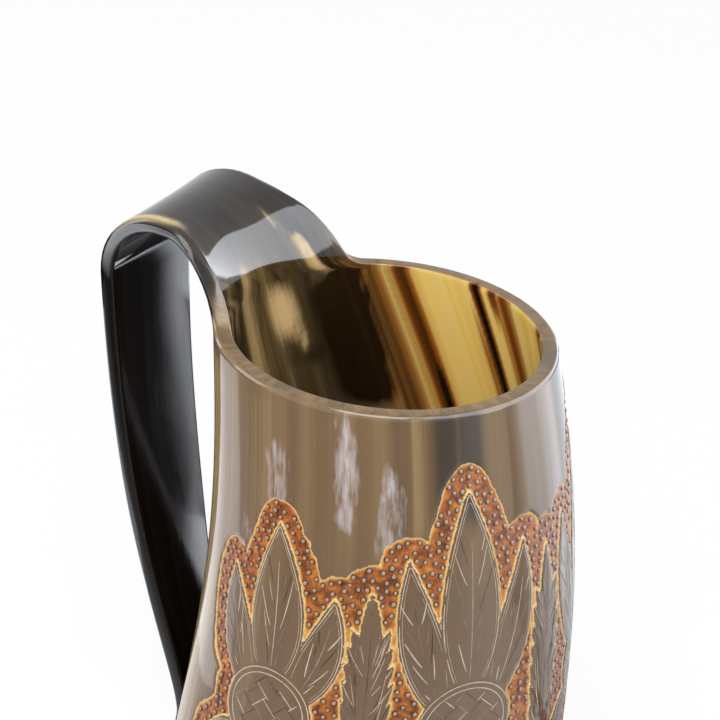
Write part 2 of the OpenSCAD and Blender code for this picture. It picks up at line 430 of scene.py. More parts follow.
    def strip_point(self, s: Array, bearing: Array, face: Face) -> Array:
        """Places points of one face of the strip.

        Args:
            s: Distances from the root, one a row.
            bearing: Bearings of the columns at the mouth, in degrees.
            face: Which face of the horn.

        Returns:
            x, y, z for each row and column.
        """
        across = np.sin(np.radians(180 - bearing)) / math.sin(math.radians(self.root_angle))
        place = self._plain_strip(s, across, face)
        inset = 0.0 if face is Face.OUTSIDE else self.mouth_wall
        on_wall = self.wall_point(bearing, self.last_row_z(bearing), inset)
        fault = on_wall - self._plain_strip(np.zeros(1), across, face)[0]
        share = np.maximum(0.0, 1 - s / self.flare_length) ** 2
        return place + fault[None] * share[:, None, None]

    def _plain_strip(self, s: Array, across: Array, face: Face) -> Array:
        """Points of the strip before they are drawn onto the wall's last row.

        Args:
            s: Distances from the root.
            across: Shares of the half width, from -1 to 1.
            face: Which face of the horn.

        Returns:
            x, y, z for each row and column.
        """
        at, run = self.path(s)
        y = self.half_width(s)[:, None] * across[None]
        k = self.curvature(s)[:, None]
        lean = np.arcsin(np.clip(k * y, -1.0, 1.0))
        sag = k * y * y / (1 + np.cos(lean))
        swing = np.sin(np.pi * np.minimum(1.0, s / self.arch_length / 2)) ** 2
        twisted = self.arch_twist * across[None] * swing[:, None]
        lift = sag + twisted + face.value * self.half_wall * np.cos(lean)
        y = y - face.value * self.half_wall * np.sin(lean)
        return np.stack([at[:, :1] + run[:, 1:] * lift, y, at[:, 1:] - run[:, :1] * lift], -1)

@dataclass(frozen=True)
class Leaf:
    """A leaf of the carving, swept by a disc along its midrib on the unrolled wall, in millimetres.

    Attributes:
        root: Place of the leaf's lower end, as x and z.
        tip: Place of its point.
        bend: How far the midrib bows to its left.
        half_width: Half the leaf's greatest width.
        fullness: Under 1, the widest place lies towards the root.
        barb_pitch: Distance between two barbs, or 0 for a leaf with a smooth edge.
    """

    root: tuple[float, float]
    tip: tuple[float, float]
    bend: float = 0.0
    half_width: float = 6.0
    fullness: float = 0.9
    barb_pitch: float = 0.0

    def mirrored(self) -> "Leaf":
        """The same leaf on the other side of the motif."""
        return replace(self, root=(-self.root[0], self.root[1]), tip=(-self.tip[0], self.tip[1]),
                       bend=-self.bend)

    def moved(self, x: float) -> "Leaf":
        """The same leaf further along the frieze."""
        return replace(self, root=(self.root[0] + x, self.root[1]),
                       tip=(self.tip[0] + x, self.tip[1]))

    def raised(self, lift: float) -> "Leaf":
        """The same leaf with its tip higher up."""
        return replace(self, tip=(self.tip[0], self.tip[1] + lift))

    def rib(self, share: Array) -> Array:
        """Points of the midrib at shares of its length.

        Args:
            share: Shares of the leaf's length.

        Returns:
            One x and z for each share.
        """
        a, c = np.array(self.root), np.array(self.tip)
        side = np.array([-(c - a)[1], (c - a)[0]]) / np.linalg.norm(c - a)
        b = (a + c) / 2 + side * self.bend * 2
        t = np.asarray(share, float)[:, None]
        return (1 - t) ** 2 * a + 2 * (1 - t) * t * b + t ** 2 * c

    def frame(self, share: Array) -> tuple[Array, Array, Array]:
        """Points of the midrib with its direction and the direction to its left.

        Args:
            share: Shares of the leaf's length.

        Returns:
            The points and the two directions.
        """
        ahead = self.rib(share + 0.01) - self.rib(share - 0.01)
        run = ahead / np.linalg.norm(ahead, axis=1, keepdims=True)
        return self.rib(share), run, np.stack([-run[:, 1], run[:, 0]], -1)

    @property
    def length(self) -> float:
        """Length of the midrib."""
        return float(np.linalg.norm(np.diff(self.rib(np.linspace(0, 1, 33)), axis=0), axis=1).sum())

    def width_at(self, share: Array) -> Array:
        """Half the width at shares of the length."""
        return self.half_width * np.sin(np.pi * np.clip(share, 0.0, 1.0) ** self.fullness) ** 0.9

    def barbs(self) -> list["Leaf"]:
        """The barbs of a frond, each a narrow leaf of its own that points up and outward.

        Returns:
            The barbs, those of the right side first.
        """
        count = max(2, int(self.length / self.barb_pitch))
        share = 0.06 + 0.8 * np.arange(count) / count
        at, run, left = self.frame(share)
        reach = 1.2 * self.width_at(share)
        made = []
        for side in (-1, 1):
            for i in range(count):
                tip = at[i] + left[i] * side * reach[i] + run[i] * reach[i] * 1.25
                made.append(Leaf(tuple(at[i] - run[i] * 3), tuple(tip), 0.5 * side, 2.0, 0.5))
        return made

    def discs(self) -> tuple[Array, Array]:
        """Centres and radii of the discs that sweep the leaf.

        Returns:
            One centre and one radius for each disc.
        """
        share = np.linspace(0.0, 1.0, 40 if self.barb_pitch else 72)
        at, radius = self.rib(share), self.width_at(share)
        if not self.barb_pitch:
            return at, radius
        # A frond's own blade is narrow up to its tip, and its barbs make up the width
        blade = (0.5 + 0.5 * ease((share - 0.72) / 0.2)) * radius
        parts = [(at, blade)] + [barb.discs() for barb in self.barbs()]
        return np.concatenate([p[0] for p in parts]), np.concatenate([p[1] for p in parts])

    def distance(self, x: Array, z: Array, reach: float) -> Array:
        """Distance from the leaf's outline.

        Args:
            x: Places along the frieze.
            z: Heights.
            reach: Distance beyond which the result may be any larger number.

        Returns:
            Distances in millimetres, below 0 inside the leaf.
        """
        centres, radii = self.discs()
        margin = self.half_width + reach
        low, high = centres.min(0) - margin, centres.max(0) + margin
        near = (x > low[0]) & (x < high[0]) & (z > low[1]) & (z < high[1])
        away = np.full(x.shape, 2 * reach)
        gaps = np.hypot(x[near, None] - centres[:, 0], z[near, None] - centres[:, 1]) - radii
        away[near] = gaps.min(1)
        return away

    def outline(self, inset: float) -> Array:
        """Line that runs inside the outline all round, at a distance from it.

        Args:
            inset: Distance from the outline.

        Returns:
            Points of the closed line.
        """
        share = np.linspace(0.02, 0.98, 56)
        at, _, left = self.frame(share)
        width = (self.width_at(share) - inset)[:, None]
        keep = width[:, 0] > 0.05
        sides = [(at + left * width)[keep], (at - left * width)[keep][::-1]]
        return np.concatenate(sides + [sides[0][:1]])

    def stroke(self, share: float, side: int, start: float, end: float, lean: float) -> Array:
        """Curved stroke beside the midrib.

        Args:
            share: Share of the length at which the stroke leaves the midrib.
            side: 1 for the left and -1 for the right.
            start: Share of the width at which it starts.
            end: Share of the width at which it ends.
            lean: How far it runs along the leaf for its reach across.

        Returns:
            Points of the stroke.
        """
        at, run, left = self.frame(np.array([share]))
        width = float(self.width_at(np.array([share]))[0])
        t = np.linspace(0.0, 1.0, 9)[:, None]
        out = (start + (end - start) * t) * width
        return at + left * side * out + run * lean * width * (t + 0.35 * t * t)


@dataclass(frozen=True)
class CarvedFrieze:
    """Frieze of palmettes cut into the front of the cup, on the unrolled wall, in millimetres.

    A traditional ornament: leaves rise and droop from a plaited roundel, and barbed fronds stand
    between the palmettes. The ground round them is cut back, stained and set with beads.

    Attributes:
        unroll_r: Radius on which the wall is unrolled.
        palmettes: Bearing of each palmette and how much higher its tall leaves reach.
        fronds: Bearing of each frond and how much higher it reaches.
        leaves: The leaves of a palmette, those beside its middle on one side only.
        frond: A frond.
        roundel_z: Height of the roundels.
        roundel_r: Radius of the roundels.
        strap: Distance between two straps of the plait.
        strap_gap: Half the gap that parts two straps.
        band: Width of the ground round the leaves.
        ground_bottom: Height at which the ground ends below.
        ground_top: Height above which there is none.
        side_bearing: Bearing at which the carving ends on each side.
        depth: Depth of the ground.
        bead_spacing: Least distance between two beads.
        bead_row: Distance between two rows of beads.
        bead_grid: Distance between the places that a bead may take.
        bead_r: Radius of a bead.
        bead_height: Height of a bead.
        line_width: Width of an engraved line.
        vein_pitch: Distance between two veins of a leaf.
    """

    unroll_r: float = 48.0
    palmettes: tuple[tuple[float, float], ...] = (
        (-31.0, 3.0), (31.0, 3.0), (-93.0, -9.0), (93.0, -9.0))
    fronds: tuple[tuple[float, float], ...] = ((0.0, 4.0), (-62.0, 0.0), (62.0, 0.0))
    leaves: tuple[Leaf, ...] = (
        Leaf((0.0, 63.0), (0.0, 120.0), 0.0, 8.2, 0.84),
        Leaf((5.0, 59.0), (16.5, 103.0), -2.4, 5.8, 0.86),
        Leaf((8.0, 50.0), (18.0, 24.0), 3.2, 5.2, 0.86),
        Leaf((0.0, 46.0), (0.0, 13.0), 0.0, 5.0, 0.84),
    )
    frond: Leaf = Leaf((0.0, 14.0), (0.0, 98.0), 0.0, 5.4, 1.3, 7.0)
    roundel_z: float = 57.0
    roundel_r: float = 13.0
    strap: float = 4.8
    strap_gap: float = 0.6
    band: float = 6.6
    ground_bottom: float = 8.0
    ground_top: float = 138.0
    side_bearing: float = 126.0
    depth: float = 0.45
    bead_spacing: float = 2.2
    bead_row: float = 2.2 * 0.86
    bead_grid: float = 0.45
    bead_r: float = 1.0
    bead_height: float = 0.45
    line_width: float = 0.26
    vein_pitch: float = 9.0

    def motifs(self) -> list[Leaf]:
        """All leaves and fronds of the frieze, those that lie on top first.

        Returns:
            The leaves, in their places.
        """
        made = []
        for leaf in self.leaves:
            rises = leaf.tip[1] > self.roundel_z
            for bearing, lift in self.palmettes:
                raised = leaf.raised(lift) if rises else leaf
                made.append(raised.moved(self.x_of(bearing)))
                if leaf.root[0]:
                    made.append(raised.mirrored().moved(self.x_of(bearing)))
        return made + [self.frond.raised(lift).moved(self.x_of(bearing))
                       for bearing, lift in self.fronds]

    def x_of(self, bearing: Array) -> Array:
        """Place on the unrolled wall of a bearing in degrees."""
        return np.radians(bearing) * self.unroll_r

    def ground(self, x: Array, z: Array) -> Array:
        """Signed distance from the edge of the cut ground.

        Args:
            x: Places along the frieze.
            z: Heights.

        Returns:
            Distances in millimetres, above 0 in the ground.
        """
        reach = self.band + 3.0
        solid = np.full(x.shape, 2 * reach)
        for leaf in self.motifs():
            solid = np.minimum(solid, leaf.distance(x, z, reach))
        for bearing, _ in self.palmettes:
            away = np.hypot(x - self.x_of(bearing), z - self.roundel_z)
            solid = np.minimum(solid, away - self.roundel_r)
        # The hand's unevenness: waves of 10 and 2.8 mm on the ground's edge, 3.5 mm on a leaf's
        shake = 0.55 * waves(x, z, 10.0, 3) + 0.2 * waves(x, z, 2.8, 4)
        band = np.minimum(self.band + shake - solid, z - self.ground_bottom - 0.5 * shake)
        return np.minimum(solid + 0.12 * waves(x, z, 3.5, 5), band)

    def bead_places(self, rng: Rng) -> Array:
        """Chooses the places of the beads, in rows along the edges of the ground.

        Args:
            rng: Seeded source of the small irregularities.

        Returns:
            One x and z for each bead.
        """
        limit = float(self.x_of(self.side_bearing))
        x, z = (places.ravel() for places in np.meshgrid(
            np.arange(-limit, limit, self.bead_grid),
            np.arange(self.ground_bottom, self.ground_top, self.bead_grid)))
        depth = self.ground(x, z)
        keep = depth > self.bead_r + 0.15
        x, z, depth = x[keep], z[keep], depth[keep]
        rank = np.abs((depth - self.bead_r - 0.3) % self.bead_row) + rng.uniform(0, 0.4, len(x))
        taken: dict[tuple[int, int], list[tuple[float, float]]] = {}
        chosen = []
        for i in np.argsort(rank):
            column, row = int(x[i] // self.bead_spacing), int(z[i] // self.bead_spacing)
            close = [place for a in (-1, 0, 1) for b in (-1, 0, 1)
                     for place in taken.get((column + a, row + b), ())]
            if all((p[0] - x[i]) ** 2 + (p[1] - z[i]) ** 2 > self.bead_spacing ** 2 for p in close):
                taken.setdefault((column, row), []).append((x[i], z[i]))
                chosen.append((x[i], z[i]))
        return np.array(chosen)

    def lines(self, rng: Rng) -> list[Line]:
        """Draws the engraved lines.

        Args:
            rng: Seeded source of the small irregularities.

        Returns:
            Points, width and paleness of each line.
        """
        drawn = []
        above: list[Leaf] = []
        for leaf in self.motifs():
            own = self._barb_lines(leaf, rng) if leaf.barb_pitch else self._leaf_lines(leaf, rng)
            for points, width, paleness in own:
                x, z = points.T
                hidden = leaf.distance(x, z, 1.0) > -0.2
                for other in above:
                    hidden |= other.distance(x, z, 1.0) < 0.3
                for bearing, _ in self.palmettes:
                    centre = np.array([self.x_of(bearing), self.roundel_z])
                    hidden |= np.linalg.norm(points - centre, axis=1) < self.roundel_r + 0.4
                # Here and there the graver skips
                hidden |= rng.uniform(0, 1, len(points)) < 0.02
                runs = np.split(np.arange(len(points)), np.flatnonzero(hidden))
                drawn += [(points[run[1:]], width, paleness) for run in runs if len(run) > 4]
            above.append(leaf)
        for bearing, _ in self.palmettes:
            drawn += self._plait(float(self.x_of(bearing)), rng)
        return drawn

    def _leaf_lines(self, leaf: Leaf, rng: Rng) -> list[Line]:
        """Double outline, midrib and veins of a smooth leaf.

        Args:
            leaf: The leaf, in its place.
            rng: Seeded source of the small irregularities.

        Returns:
            Points, width and paleness of each line.
        """
        made = [(leaf.outline(0.45), self.line_width, 0.95),
                (leaf.outline(1.15), self.line_width * 0.7, 0.6),
                (leaf.rib(np.linspace(0.1, 0.78, 24)), self.line_width, rng.uniform(0.1, 0.9))]
        count = max(3, int(leaf.length / self.vein_pitch))
        for side in (-1, 1):
            for i in range(count):
                share = 0.14 + 0.6 * (i + rng.uniform(-0.2, 0.2)) / count
                line = leaf.stroke(share, side, 0.14, rng.uniform(0.5, 0.75), rng.uniform(1.0, 1.6))
                width = self.line_width * rng.uniform(0.8, 1.4)
                made.append((line, width, rng.choice([0.0, 0.2, 0.9])))
        return made

    def _barb_lines(self, leaf: Leaf, rng: Rng) -> list[Line]:
        """Shaft, barbs and fine strokes of a frond.

        Args:
            leaf: The leaf, in its place.
            rng: Seeded source of the small irregularities.

        Returns:
            Points, width and paleness of each line.
        """
        made = [(leaf.rib(np.linspace(0.03, 0.93, 30)), self.line_width * 1.1, 0.1)]
        made += [(barb.rib(np.linspace(0.1, 0.9, 12)), self.line_width * 0.8,
                  rng.choice([0.0, 0.2, 0.9])) for barb in leaf.barbs()]
        for _ in range(int(leaf.length * 0.8)):
            share, side = rng.uniform(0.05, 0.85), rng.choice([-1, 1])
            start, end, lean = (
                rng.uniform(*limits) for limits in ((0.05, 0.5), (0.6, 1.1), (1.6, 2.6)))
            width = self.line_width * rng.uniform(0.5, 0.9)
            line = leaf.stroke(share, side, start, end, lean)
            made.append((line, width, rng.choice([0.0, 0.2, 0.95])))
        return made

    def _plait(self, x: float, rng: Rng) -> list[Line]:
        """Straps of the plaited roundel, each broken where another passes over it.

        Args:
            x: Place of the roundel along the frieze.
            rng: Seeded source of the small irregularities.

        Returns:
            Points, width and paleness of each line.
        """
        centre = np.array([x, self.roundel_z])
        turn = np.linspace(0, 2 * np.pi, 72)
        ring = np.stack([np.cos(turn), np.sin(turn)], -1)
        made = [(centre + ring * (self.roundel_r - inset), self.line_width, 0.95)
                for inset in (0.45, 2.0)]
        limit = self.roundel_r - 2.4
        pitch, gap = self.strap, self.strap_gap
        count = int(1.5 * limit / pitch) + 1
        t = np.linspace(-0.5, 0.5, 9) * (pitch + 2 * gap)
        for across in (0, 1):
            for strap in range(-count, count + 1):
                for edge in (-0.5, 0.5):
                    level = strap * pitch + edge * (pitch - 2 * gap) + 0 * t
                    for cell in range(-count, count + 1):
                        if (strap + cell + across) % 2:
                            continue
                        run = t + cell * pitch
                        a, b = (run, level) if across else (level, run)
                        line = np.stack([a - b, a + b], -1) * math.sqrt(0.5)
                        line = line[np.hypot(line[:, 0], line[:, 1]) < limit]
                        if len(line) > 3:
                            paleness = rng.choice([0.05, 0.3, 0.9])
                            made.append((line + centre, self.line_width, paleness))
        return made


# Heights below and beyond all of the horn, for a streak that has no start or no end
BELOW, BEYOND = -60.0, 460.0


@dataclass(frozen=True)
class Streak:
    """A lengthwise streak or patch of the horn's own colour.

    Attributes:
        tone: What the streak is.
        face: Face of the horn on which it shows.
        bearing: Its bearing at the mouth, in degrees from the front.
        half_width: Half its width, in degrees.
        strength: From 0, none, to 1, full. Above 1 it keeps its full strength over more width.
        start: Height at which it starts, counted on along the strip, in millimetres.
        end: Height at which it ends.
        fade: Length over which both ends fade, in millimetres.
    """

    tone: Tone
    face: Face
    bearing: float
    half_width: float
    strength: float = 1.0
    start: float = BELOW
    end: float = BEYOND
    fade: float = 12.0

    def at(self, bearing: Array, along: Array) -> Array:
        """Strength at bearings and lengths along the horn.

        Args:
            bearing: Bearings drawn along the fibres, in degrees.
            along: Heights, counted on along the strip.

        Returns:
            The strength at each.
        """
        across = np.exp(-(turn_between(bearing, self.bearing) / self.half_width) ** 2)
        ends = ease((along - self.start) / self.fade) * ease((self.end - along) / self.fade)
        return self.strength * across * ends


# Bearing, half width, strength, start, end and fade of each streak and patch, by tone and face
STREAKS: dict[tuple[Tone, Face], tuple[tuple[float, ...], ...]] = {
    (Tone.SMOKE, Face.INSIDE): ((178, 42),),
    (Tone.DARK, Face.INSIDE): (
        (147, 13.5, 1.1, 100, 151), (141, 8, 1.1, 110, 168), (163, 13, 0.8, 112, 136, 14),
        (204, 4, 0.7, BELOW, 160), (131, 5.5, 0.62), (117, 4.6, 0.62),
        (116, 2.2, 0.84, BELOW, 133, 20), (90, 4.5, 0.3, BELOW, 150, 26), (87, 2.2, 0.78),
        (79, 2.4, 0.66, 128, BEYOND, 20), (74, 4, 0.64), (45, 4, 0.7)),
    (Tone.PALE, Face.INSIDE): (
        (169, 7, 1.1, 124, 153, 13), (165, 3, 0.8, 120, 140, 9), (143, 5.4, 0.95, 144, 160, 5),
        (150, 2.4, 0.55, 155, 169, 6), (188, 6, 0.55, 90, 160, 8), (214.5, 6.5, 0.8, 164, 199, 9)),
    (Tone.SLATE, Face.INSIDE): ((27, 13, 1.3, 136, BEYOND, 4),),
    (Tone.DARK, Face.OUTSIDE): ((180, 30, 1.2),),
    (Tone.SLATE, Face.OUTSIDE): (
        (-37, 5.4, 1.2, 102, BEYOND, 24), (-29, 4.8, 1.2, 106, BEYOND, 20),
        (20, 7, 0.8, 100, BEYOND, 30), (30, 7, 1.3, 137, BEYOND, 4)),
    (Tone.PALE, Face.OUTSIDE): (
        (-142, 22, 0.62, BELOW, 152), (-105, 8, 0.32, BELOW, 152),
        (-45.5, 5, 0.48, 96, BEYOND, 20)),
    (Tone.FROST, Face.OUTSIDE): (
        (-106, 6, 0.95, 70, 124, 22), (-93, 8, 1.05, 98, 144, 16), (-69, 6.5, 1.2, 104, 152, 14),
        (-55, 7.5, 1.15, 92, 142, 18), (-12, 4, 0.7, 112, 137, 8)),
}


@dataclass(frozen=True)
class ScorchStain:
    """Scorch and stain in cut horn: orange, darker and paler in soft spots.

    To the eye it gives the carving its warm ground, from brown to ochre within a few millimetres.
    """

    tones: Ramp = ((0.32, "#451d05"), (0.45, "#80400b"), (0.56, "#aa5f17"), (0.75, "#c98630"))
    mottle_mm: float = 2.6

    def colour(self, tree: Tree, grain: Socket) -> tuple[Node, Node]:
        """Colours the ground.

        Args:
            tree: Tree that takes the nodes.
            grain: Place along the fibres, in millimetres.

        Returns:
            The mottle and the colour that comes of it.
        """
        mottle = add(tree, "TexNoise", {
            "Vector": grain, "Scale": 1 / self.mottle_mm, "Detail": 6.0, "Roughness": 0.65})
        return mottle, add(tree, "ValToRGB", {"Fac": mottle}, self.tones)


@dataclass(frozen=True)
class PolishedHorn:
    """Cow horn, scraped, polished and waxed: translucent keratin with lengthwise fibres.

    To the eye: taupe outside, greyer lower down where it is scraped more, and amber inside, an
    amber made brighter than the horn's own as painted light for the light that shines through the
    thin wall. Both are streaked along the fibres, under a clear gloss with fine lengthwise
    scratches. The cut ground is scorched orange and duller. Each pattern's size is its width and
    length.

    Attributes:
        outside: Colours of the outer face.
        inside: Colours of the inner face, brighter than the horn's own amber: painted light for the
            light that shines through the thin wall.
        smoke: Colours where the inner face is smoked by the heat of bending.
        dark: Colours of the dark streaks.
        sawn: Colours of the sawn face of the mouth.
        cut_edge: Colours of the cut wall round the ground, from fresh to stained.
        scraped: Outer face lower down.
        burnt: Brown edge of a dark streak in the amber.
        pale, slate, frost: The other streaks, and the frosty patches in the polish.
        scraped_z: Height over which the outer face turns from polished to scraped.
        ior: Of keratin.
    """

    outside: Ramp = ((0.25, "#66523c"), (0.45, "#725c44"), (0.58, "#7b654a"), (0.78, "#887055"))
    # The inner face's amber is raised above the horn's own: painted light for the light that shines
    # through the thin wall
    inside: Ramp = ((0.25, "#d39a42"), (0.4, "#ecc262"), (0.55, "#f4d276"), (0.75, "#f8dd90"))
    smoke: Ramp = ((0.3, "#2a2218"), (0.48, "#4a3f2c"), (0.6, "#6a5c3f"), (0.78, "#8c7c58"))
    dark: Ramp = ((0.3, "#080605"), (0.55, "#120c08"), (0.8, "#2c1a0e"))
    sawn: Ramp = ((0.3, "#4c3a1e"), (0.5, "#6e5631"), (0.72, "#8c7244"))
    cut_edge: Ramp = ((0.0, "#e4cf9a"), (0.15, "#dcae62"), (0.38, "#c07f30"))
    scraped: str = "#6c5746"
    burnt: str = "#96551a"
    pale: str = "#dcbf8c"
    slate: str = "#453c34"
    frost: str = "#cfc9cf"
    scraped_z: tuple[float, float] = (116.0, 88.0)
    streak_mm: tuple[float, float] = (8.0, 900.0)
    fibre_mm: tuple[float, float] = (1.1, 500.0)
    scratch_mm: tuple[float, float] = (0.35, 14.0)
    wisp_mm: tuple[float, float] = (1.5, 6.5)
    grit_mm: float = 0.5
    ior: float = HORN_IOR

    def material(self) -> Material:
        """Builds the material.

        Returns:
            The finish of the horn, which reads the mesh's own attributes.
        """
        material, tree = finish_of("polished_cow_horn")
        grain = add(tree, "Attribute", attribute_name="grain").outputs["Vector"]
        at = {name: add(tree, "Attribute", attribute_name=name).outputs["Fac"] for name in (
            "inside", "amber", "smoke", "pale", "slate", "dark", "frost", "ground", "sawn")}
        streak, fibre, scratch, wisp = (
            add(tree, "TexNoise", {
                "Vector": add(tree, "Mapping", {
                    "Vector": grain, "Scale": (1 / wide, 1 / wide, 1 / long)}),
                "Scale": 1.0, "Detail": detail, "Roughness": 0.55})
            for (wide, long), detail in (
                (self.streak_mm, 3.0), (self.fibre_mm, 3.0), (self.scratch_mm, 2.0),
                (self.wisp_mm, 6.0)))
        grit = add(tree, "TexNoise", {"Vector": grain, "Scale": 1 / self.grit_mm, "Detail": 2.0})
        mottle, stain = ScorchStain().colour(tree, grain)
        frosted = self._frosted(tree, at["frost"], scratch, wisp)
        natural = self._natural(tree, grain, at, (streak, fibre, mottle), frosted)

        # The cut's edge is torn a little by the grit, fresh at the rim and stained further in
        torn = add(tree, "Math", {0: grit, 1: 0.7, 2: at["ground"]}, operation="MULTIPLY_ADD")
        edge = add(tree, "Math", {0: torn, 1: 0.35}, operation="SUBTRACT")
        cut_in = add(tree, "MapRange", {"Value": edge, "From Min": 0.0, "From Max": 0.12})
        stained = add(tree, "MapRange", {"Value": edge, "From Min": 0.25, "From Max": 1.4},
                      interpolation_type="SMOOTHSTEP")
        fresh = add(tree, "ValToRGB", {
            "Fac": add(tree, "MapRange", {"Value": edge, "From Max": 2.0})}, self.cut_edge)
        cut = add(tree, "Mix", {0: stained, 6: fresh, 7: stain}, data_type="RGBA")
        colour = add(tree, "Mix", {0: cut_in, 6: natural, 7: cut}, data_type="RGBA")

        gloss = add(tree, "MapRange", {
            "Value": scratch, "From Min": 0.3, "From Max": 0.8, "To Min": 0.03, "To Max": 0.11})
        dull = cut_in
        for other in (at["sawn"], frosted):
            dull = add(tree, "Math", {0: dull, 1: other}, operation="MAXIMUM")
        rough = add(tree, "MapRange", {"Value": dull, "To Min": gloss, "To Max": 0.42})

        relief = add(tree, "MapRange", {
            "Value": edge, "From Min": -0.1, "From Max": 0.35, "To Min": 1.0, "To Max": 0.0},
            interpolation_type="SMOOTHSTEP")
        pits = add(tree, "Math", {0: grit, 1: dull}, operation="MULTIPLY")
        step = add(tree, "Bump", {"Height": relief, "Strength": 0.8, "Distance": 0.25 * MM})
        pitted = add(tree, "Bump", {
            "Height": pits, "Strength": 0.5, "Distance": 0.12 * MM, "Normal": step})
        scored = add(tree, "Bump", {
            "Height": scratch, "Strength": 0.3, "Distance": 0.015 * MM, "Normal": pitted})
        add(tree, "OutputMaterial", {"Surface": add(tree, "BsdfPrincipled", {
            "Base Color": colour, "Roughness": rough, "Normal": scored, "IOR": self.ior})})
        return material

    def _frosted(self, tree: Tree, share: Socket, scratch: Node, wisp: Node) -> Node:
        """Breaks the frosty patches up into wisps.

        Args:
            tree: Tree that takes the nodes.
            share: Where the patches lie.
            scratch: Noise of the scratches.
            wisp: Noise of the wisps.

        Returns:
            How much of the frost shows.
        """
        patchy = add(tree, "Math", {0: scratch, 1: 0.2, 2: wisp}, operation="MULTIPLY_ADD")
        frost = add(tree, "Math", {0: share, 1: patchy}, operation="MULTIPLY")
        return add(tree, "MapRange", {
            "Value": frost, "From Min": 0.48, "From Max": 0.94, "To Max": 0.7})

    def _natural(self, tree: Tree, grain: Socket,
                 at: dict[str, Socket], noises: tuple[Node, Node, Node],
                 frosted: Node) -> Node:
        """Colours the uncut horn, in layers that each lie over the one before.

        Args:
            tree: Tree that takes the nodes.
            grain: Place along the fibres, in millimetres.
            at: Share of each tone.
            noises: Noise of the streaks, of the fibres and of the sawn face.
            frosted: How much of the frost shows.

        Returns:
            The colour.
        """
        streak, fibre, mottle = noises
        mixed = add(tree, "Math", {0: fibre, 1: 0.25, 2: streak}, operation="MULTIPLY_ADD")
        lengthwise = add(tree, "Math", {0: mixed, 1: 0.125}, operation="SUBTRACT")
        outside, inside, smoke, dark = (
            add(tree, "ValToRGB", {"Fac": lengthwise}, stops)
            for stops in (self.outside, self.inside, self.smoke, self.dark))
        height = add(tree, "SeparateXYZ", {"Vector": grain}).outputs["Z"]
        scraped = add(tree, "MapRange", {
            "Value": height, "From Min": self.scraped_z[0], "From Max": self.scraped_z[1],
            "To Max": 0.75})
        halo = add(tree, "Math", {
            0: self._soft(tree, at["dark"], lengthwise, 0.62, 1.0), 1: at["amber"]},
            operation="MULTIPLY")
        colour = outside
        for share, layer in (
                (scraped, self.scraped),
                # The inner face's ramp carries painted light, for the light that shines through the
                # wall
                (at["inside"], inside),
                (self._soft(tree, at["smoke"], lengthwise, 0.55, 1.1), smoke),
                (self._soft(tree, at["slate"], lengthwise, 0.6, 1.5), self.slate),
                (self._soft(tree, at["pale"], lengthwise, 0.7, 1.5), self.pale),
                (halo, self.burnt),
                (self._soft(tree, at["dark"], lengthwise, 0.85, 1.3), dark),
                (frosted, self.frost),
                (at["sawn"], add(tree, "ValToRGB", {"Fac": mottle}, self.sawn))):
            colour = add(tree, "Mix", {0: share, 6: colour, 7: layer}, data_type="RGBA")
        return colour

    def _soft(self, tree: Tree, share: Socket, lengthwise: Node, low: float,
              high: float) -> Node:
        """Breaks the edge of a streak up along the fibres.

        Args:
            tree: Tree that takes the nodes.
            share: The streak's own strength.
            lengthwise: Noise of the fibres.
            low: Strength and noise together at which the streak starts to show.
            high: Strength and noise together at which it covers.

        Returns:
            How much of the streak shows.
        """
        pushed = add(tree, "Math", {0: lengthwise, 1: 1.1, 2: share}, operation="MULTIPLY_ADD")
        shown = add(tree, "MapRange", {"Value": pushed, "From Min": low, "From Max": high},
                    interpolation_type="SMOOTHSTEP")
        present = add(tree, "MapRange", {"Value": share, "From Max": 0.15})
        return add(tree, "Math", {0: shown, 1: present}, operation="MULTIPLY")


@dataclass(frozen=True)
class StainedBeadWithPaintedLight:
    """Raised bead in the ground: a pale crown that is a painted highlight, in a dark ring that is
    painted shade round the dome's foot, blending into the scorched ground at its edge.
    """

    # Pale crown: painted highlight of the dome; dark ring outside it: painted shade at the dome's
    # foot
    tones: Ramp = ((0.0, "#9b8873"), (0.42, "#9b8873"), (0.58, "#6b3a18"), (0.68, "#2c1406"))
    ior: float = HORN_IOR

    def material(self) -> Material:
        """Builds the material, which reads how far from its middle each point of a bead lies.

        Returns:
            The finished material.
        """
        material, tree = finish_of("bead_painted_highlight_and_shade")
        grain = add(tree, "Attribute", attribute_name="grain").outputs["Vector"]
        reach = add(tree, "Attribute", attribute_name="reach").outputs["Fac"]
        _, stain = ScorchStain().colour(tree, grain)
        # Painted highlight on the crown and painted shade in the ring, by distance from the bead's
        # middle
        bead = add(tree, "ValToRGB", {"Fac": reach}, self.tones)
        edge = add(tree, "MapRange", {"Value": reach, "From Min": 0.7, "From Max": 0.96},
                   interpolation_type="SMOOTHSTEP")
        colour = add(tree, "Mix", {0: edge, 6: bead, 7: stain}, data_type="RGBA")
        rough = add(tree, "MapRange", {"Value": reach, "To Min": 0.2, "To Max": 0.45})
        add(tree, "OutputMaterial", {"Surface": add(tree, "BsdfPrincipled", {
            "Base Color": colour, "Roughness": rough, "IOR": self.ior})})
        return material


